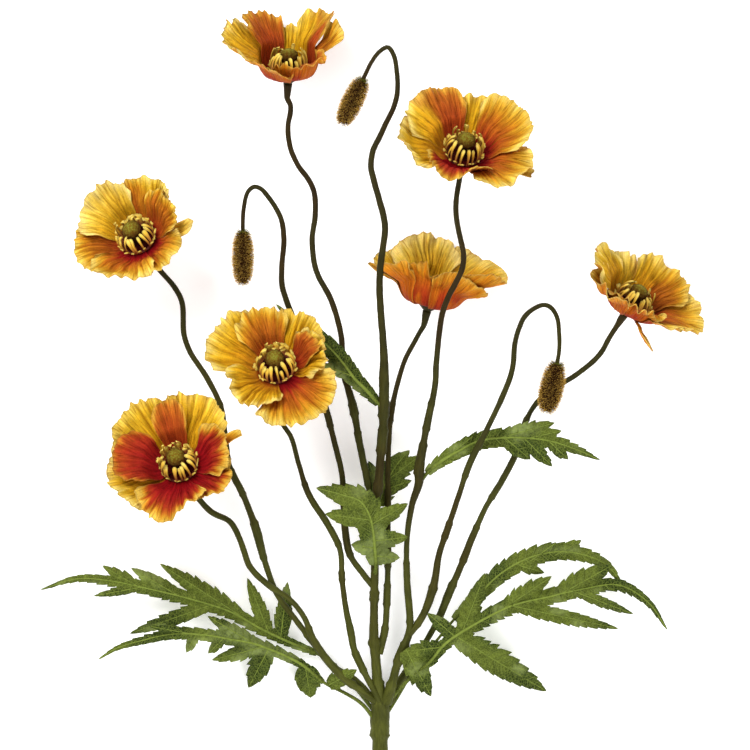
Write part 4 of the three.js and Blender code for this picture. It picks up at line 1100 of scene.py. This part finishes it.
def leaf_blade(plan, triangles, lines, height_at, seed):
    """Cloth that curls, bends and puffs up between its veins, and one colour of its upper face."""
    rise, nearest, side = leaf_relief(plan, lines)
    waves = LEAF_CURL * field(plan, 9, seed + 30) + LEAF_BEND * field(plan, 24, seed + 31)
    level = height_at(plan) - 0.45 * rise - 0.4 * np.exp(-(nearest / 1.2) ** 2)
    level = level + waves * ease(nearest / 6)
    level = np.maximum(level, LEAF_CLOTH / 2 + 0.02)
    count = len(plan)
    points = np.vstack([np.column_stack([plan, level + way * LEAF_CLOTH / 2]) for way in (1, -1)])
    edges = np.vstack([triangles[:, [0, 1]], triangles[:, [1, 2]], triangles[:, [2, 0]]])
    known = {tuple(e) for e in edges.tolist()}
    border = np.array([e for e in edges.tolist() if (e[1], e[0]) not in known])
    walls = np.stack([border[:, 1], border[:, 0], border[:, 0] + count, border[:, 1] + count], axis=-1)
    top, under = leaf_tints(plan, rise, side, seed)
    faces = [triangles, triangles[:, ::-1] + count, walls]
    return body(points, faces, np.vstack([top, under]), points), top[0]


def vein_tube(route, thick, thin, tint, height_at):
    """Tapered vein that follows a route over the blade."""
    route = route.copy()
    route[:, 2] = np.maximum(height_at(route[:, :2]) + 0.08, thick)
    return tube(route, np.linspace(thick, thin, len(route)), VEIN_SIDES, tint)


def leaf_stalk(samples, run, bladed, height_at):
    """Stalk that turns into the rib where the last samples, as many as bladed, lie on the blade."""
    share = run / run[-1]
    radius = np.interp(share, *zip(*STALK))
    on_blade = ease((share - share[-bladed]) / 0.12)
    path = samples.copy()
    path[:, 2] = np.maximum(mix(path[:, 2], height_at(path[:, :2]), on_blade), radius)
    tint = mix(colour(STALK_OLIVE), colour(VEIN), on_blade[:, None])
    return tube(path[::2], radius[::2] * 0.85, STALK_SIDES, tint[::2])


def side_veins(samples, run, half, height_at, tint):
    """Thin tubes that leave a line on both sides wherever its blade is wide enough."""
    along, outward = headings(samples)
    veins = []
    for at in np.arange(VEIN_STEP, run[-1] - VEIN_STEP, VEIN_STEP):
        k = int(np.searchsorted(run, at))
        if half[k] < LEAST_VEINED:
            continue
        steps = np.linspace(0, 0.8, 5)[:, None] * half[k]
        for sign in (-1, 1):
            plan_route = samples[k, :2] + sign * outward[k] * steps + along[k] * steps * 0.8
            route = np.column_stack([plan_route, np.zeros(5)])
            veins.append(vein_tube(route, 0.32, 0.2, tint, height_at))
    return veins


def make_leaf(node, form, seed, material):
    """Blade with its stalk, rib and veins, which stand a little out of both faces."""
    samples, run, lines = leaf_lines(*form)
    height_at = leaf_height(lines, seed)
    blade, tone = leaf_blade(*leaf_mesh(lines, seed), lines, height_at, seed)
    bodies = [blade, leaf_stalk(samples, run, len(lines[0][0]), height_at)]
    for middle, _, _ in lines[1:]:
        bodies.append(vein_tube(middle[::3], 0.45, 0.25, colour(VEIN), height_at))
    for line in lines:
        bodies += side_veins(*line, height_at, mix(colour(VEIN), tone, 0.5))
    add_piece(node, "blade", bodies, material)


# Materials

class Shader:
    """Material with a Principled shader, and short ways to add nodes to it."""

    def __init__(self, name):
        self.material = bpy.data.materials.new(name)
        self.material.use_nodes = True
        self.nodes = self.material.node_tree.nodes
        self.principled = self.nodes["Principled BSDF"]

    def add(self, kind, inputs=(), **settings):
        node = self.nodes.new(kind)
        for key, value in settings.items():
            setattr(node, key, value)
        for key, value in dict(inputs).items():
            self.put(node, key, value)
        return node

    def put(self, node, key, value):
        if isinstance(value, bpy.types.NodeSocket):
            self.material.node_tree.links.new(value, node.inputs[key])
        else:
            node.inputs[key].default_value = value

    def tint(self):
        return self.add("ShaderNodeAttribute", attribute_name="tint").outputs["Color"]

    def grain(self):
        return self.add("ShaderNodeAttribute", attribute_name="grain").outputs["Vector"]

    def spot(self):
        return self.add("ShaderNodeTexCoord").outputs["Object"]

    def noise(self, vector, scale, detail=3.0, roughness=0.6):
        """Noise of one scale, or of a scale for each axis."""
        if isinstance(scale, tuple):
            stretch = self.add("ShaderNodeVectorMath", {0: vector, 1: scale}, operation="MULTIPLY")
            vector, scale = stretch.outputs[0], 1.0
        inputs = {"Vector": vector, "Scale": scale, "Detail": detail, "Roughness": roughness}
        return self.add("ShaderNodeTexNoise", inputs).outputs["Fac"]

    def ranged(self, value, low, high, to_low, to_high):
        inputs = {"Value": value, "From Min": low, "From Max": high, "To Min": to_low, "To Max": to_high}
        return self.add("ShaderNodeMapRange", inputs).outputs["Result"]

    def math(self, operation, a, b=0.0):
        return self.add("ShaderNodeMath", {0: a, 1: b}, operation=operation).outputs[0]

    def times(self, value, share):
        return self.math("MULTIPLY", value, share)

    def mixed(self, blend, factor, a, b):
        node = self.add("ShaderNodeMix", data_type="RGBA", blend_type=blend)
        for key, value in ((0, factor), (6, a), (7, b)):
            self.put(node, key, value)
        return node.outputs[2]

    def shaded(self, tint, value, *span):
        """A colour darkened where a value is low and brightened where it is high. The span is ranged's."""
        share = self.ranged(value, *span)
        grey = self.add("ShaderNodeCombineColor", {0: share, 1: share, 2: share}).outputs[0]
        return self.mixed("MULTIPLY", 1.0, tint, grey)

    def line(self, value, width):
        """Thin lines where a noise passes its middle."""
        away = self.math("ABSOLUTE", self.math("SUBTRACT", value, 0.5))
        return self.ranged(away, 0.0, width, 1.0, 0.0)

    def bump(self, height, distance):
        node = self.add("ShaderNodeBump", {"Height": height, "Distance": distance, "Strength": 1.0})
        self.put(self.principled, "Normal", node.outputs[0])

    def finish(self, tint, roughness, specular):
        self.put(self.principled, "Base Color", tint)
        self.put(self.principled, "Roughness", roughness)
        self.put(self.principled, "Specular IOR Level", specular)
        return self.material


def petal_material():
    """Crinkled silk: dark creases of painted shade, dark veins and fine threads run from the throat to the
    rim, with ripples across.
    """
    shader = Shader("petal_silk")
    tint, grain = shader.tint(), shader.grain()
    threads = shader.noise(grain, (1.5, 0.12, 3.0))
    across = shader.noise(grain, (0.3, 1.1, 5.0))
    patches = shader.noise(grain, (0.1, 0.09, 7.0))
    creases = shader.line(shader.noise(grain, (0.34, 0.016, 9.0), 2.0, 0.5), 0.022)
    veins = shader.line(shader.noise(grain, (0.9, 0.03, 4.0), 2.0, 0.5), 0.035)
    deep = shader.mixed("MULTIPLY", 1.0, tint, (0.66, 0.36, 0.14, 1.0))
    # Painted shade in the creases: the same lines that the bump sinks are darkened
    painted_crease_shade = shader.mixed("MIX", shader.times(creases, 0.62), tint, deep)
    veined = shader.mixed("MIX", shader.times(veins, 0.4), painted_crease_shade, deep)
    lit = shader.shaded(veined, threads, 0.3, 0.7, 0.84, 1.18)
    mottled = shader.shaded(lit, patches, 0.3, 0.7, 0.86, 1.14)
    woven = shader.shaded(mottled, across, 0.3, 0.7, 0.9, 1.1)
    raised = shader.math("ADD", threads, across)
    shader.bump(shader.math("SUBTRACT", raised, shader.times(creases, 0.7)), 0.0009)
    return shader.finish(woven, 0.55, 0.06)


def strap_material():
    """Soft golden cloth straps with a felted surface."""
    shader = Shader("filament_gold")
    felt = shader.noise(shader.spot(), 2600.0)
    shader.bump(felt, 0.0002)
    return shader.finish(shader.shaded(shader.tint(), felt, 0.3, 0.7, 0.85, 1.12), 0.6, 0.2)


def capsule_material():
    """Knobbly olive felt, mottled green and brown."""
    shader = Shader("capsule_felt")
    tint, spot = shader.tint(), shader.spot()
    knobs = shader.noise(spot, 700.0)
    grains = shader.noise(spot, 2200.0)
    shader.bump(shader.math("ADD", knobs, shader.times(grains, 0.4)), 0.0009)
    brown = shader.mixed("MULTIPLY", 1.0, tint, (0.75, 0.45, 0.25, 1.0))
    mottled = shader.mixed("MIX", shader.ranged(knobs, 0.42, 0.6, 1.0, 0.0), tint, brown)
    return shader.finish(shader.shaded(mottled, grains, 0.35, 0.65, 0.7, 1.35), 0.85, 0.08)


def stem_material():
    """Coated wire stem: fine streaks along it, worn here and there."""
    shader = Shader("stem_coat")
    grain = shader.grain()
    streaks = shader.noise(grain, (1.4, 1.4, 0.12), 4.0)
    specks = shader.noise(grain, 1.8)
    shader.bump(shader.math("ADD", streaks, shader.times(specks, 0.4)), 0.0004)
    streaked = shader.shaded(shader.tint(), streaks, 0.3, 0.7, 0.7, 1.3)
    return shader.finish(shader.shaded(streaked, specks, 0.35, 0.7, 0.9, 1.15), 0.5, 0.07)


def bud_material():
    """Short matt hair."""
    shader = Shader("bud_fur")
    tufts = shader.noise(shader.spot(), 420.0)
    return shader.finish(shader.shaded(shader.tint(), tufts, 0.35, 0.65, 0.65, 1.3), 0.9, 0.05)


def leaf_material():
    """Printed leaf cloth: a pale net of veins in small cells over mottled green."""
    shader = Shader("leaf_cloth")
    spot = shader.spot()
    wander = shader.noise(spot, 300.0, 2.0)
    cells = shader.add("ShaderNodeTexVoronoi", {"Vector": spot, "Scale": 520.0}, feature="DISTANCE_TO_EDGE")
    net = shader.ranged(cells.outputs["Distance"], 0.0, 0.16, 1.0, 0.0)
    netted = shader.mixed("MIX", shader.times(net, 0.35), shader.tint(), (0.24, 0.3, 0.05, 1.0))
    shader.bump(shader.math("SUBTRACT", wander, shader.times(net, 0.6)), 0.0003)
    return shader.finish(shader.shaded(netted, wander, 0.3, 0.7, 0.84, 1.16), 0.5, 0.05)


# Stage

def make_floor():
    """Plain pale floor, a little lit from below as on a light table."""
    bpy.ops.mesh.primitive_plane_add(size=FLOOR_SIZE, location=(0, 0, 0))
    floor = bpy.context.object
    floor.name = "floor"
    shader = Shader("floor_white")
    shader.put(shader.principled, "Emission Color", WHITE)
    shader.put(shader.principled, "Emission Strength", FLOOR_GLOW)
    floor.data.materials.append(shader.finish(FLOOR_WHITE, 0.9, 0.1))


def make_lights():
    """A large soft key light from the picture's upper left, a weaker one from its foot, and a pale sky."""
    world = bpy.data.worlds.new("sky")
    world.use_nodes = True
    sky = world.node_tree.nodes["Background"].inputs
    sky["Color"].default_value = WHITE
    sky["Strength"].default_value = SKY
    bpy.context.scene.world = world
    for name, spot, size, power in LIGHTS:
        light = bpy.data.objects.new(name, bpy.data.lights.new(name, "AREA"))
        light.data.size = size
        light.data.energy = power
        light.location = spot
        light.rotation_euler = (-Vector(spot)).to_track_quat("-Z", "Y").to_euler()
        bpy.context.scene.collection.objects.link(light)


def make_camera():
    """Long lens straight above the middle of the photograph, which it frames at the blooms' height."""
    middle = place(PHOTO_PIXELS / 2, PHOTO_PIXELS / 2, BLOOM_HEIGHT) + ORIGIN
    camera = bpy.data.objects.new("camera", bpy.data.cameras.new("camera"))
    camera.data.sensor_width = CAMERA_SENSOR
    camera.data.lens = CAMERA_SENSOR * CAMERA_DISTANCE / (PHOTO_PIXELS * MM_PER_PIXEL * MM)
    camera.location = Vector(middle * MM) + Vector((0, 0, CAMERA_DISTANCE))
    bpy.context.scene.collection.objects.link(camera)
    bpy.context.scene.camera = camera


def main():
    bpy.context.scene.view_settings.view_transform = "Standard"
    make_camera()
    make_lights()
    make_floor()
    petals, straps, capsules = petal_material(), strap_material(), capsule_material()
    stems, furs, leaves = stem_material(), bud_material(), leaf_material()
    for number, bloom in enumerate(BLOOMS, 1):
        make_petals(bloom, number, petals)
        make_stamens(bloom, number, straps)
        make_capsule(bloom, number, capsules)
    make_stem("main_stem", MAIN_ROUTE, 5, stems)
    for seed, (node, route) in enumerate(STEM_ROUTES.items(), 10):
        make_stem(node, route, 7 * seed, stems)
    for seed, (node, (top, tip, radius)) in enumerate(BUDS.items(), 300):
        make_bud(node, top, tip, radius, seed, furs)
    for seed, (node, form) in enumerate(LEAVES.items()):
        make_leaf(node, form, 400 + 30 * seed, leaves)


main()
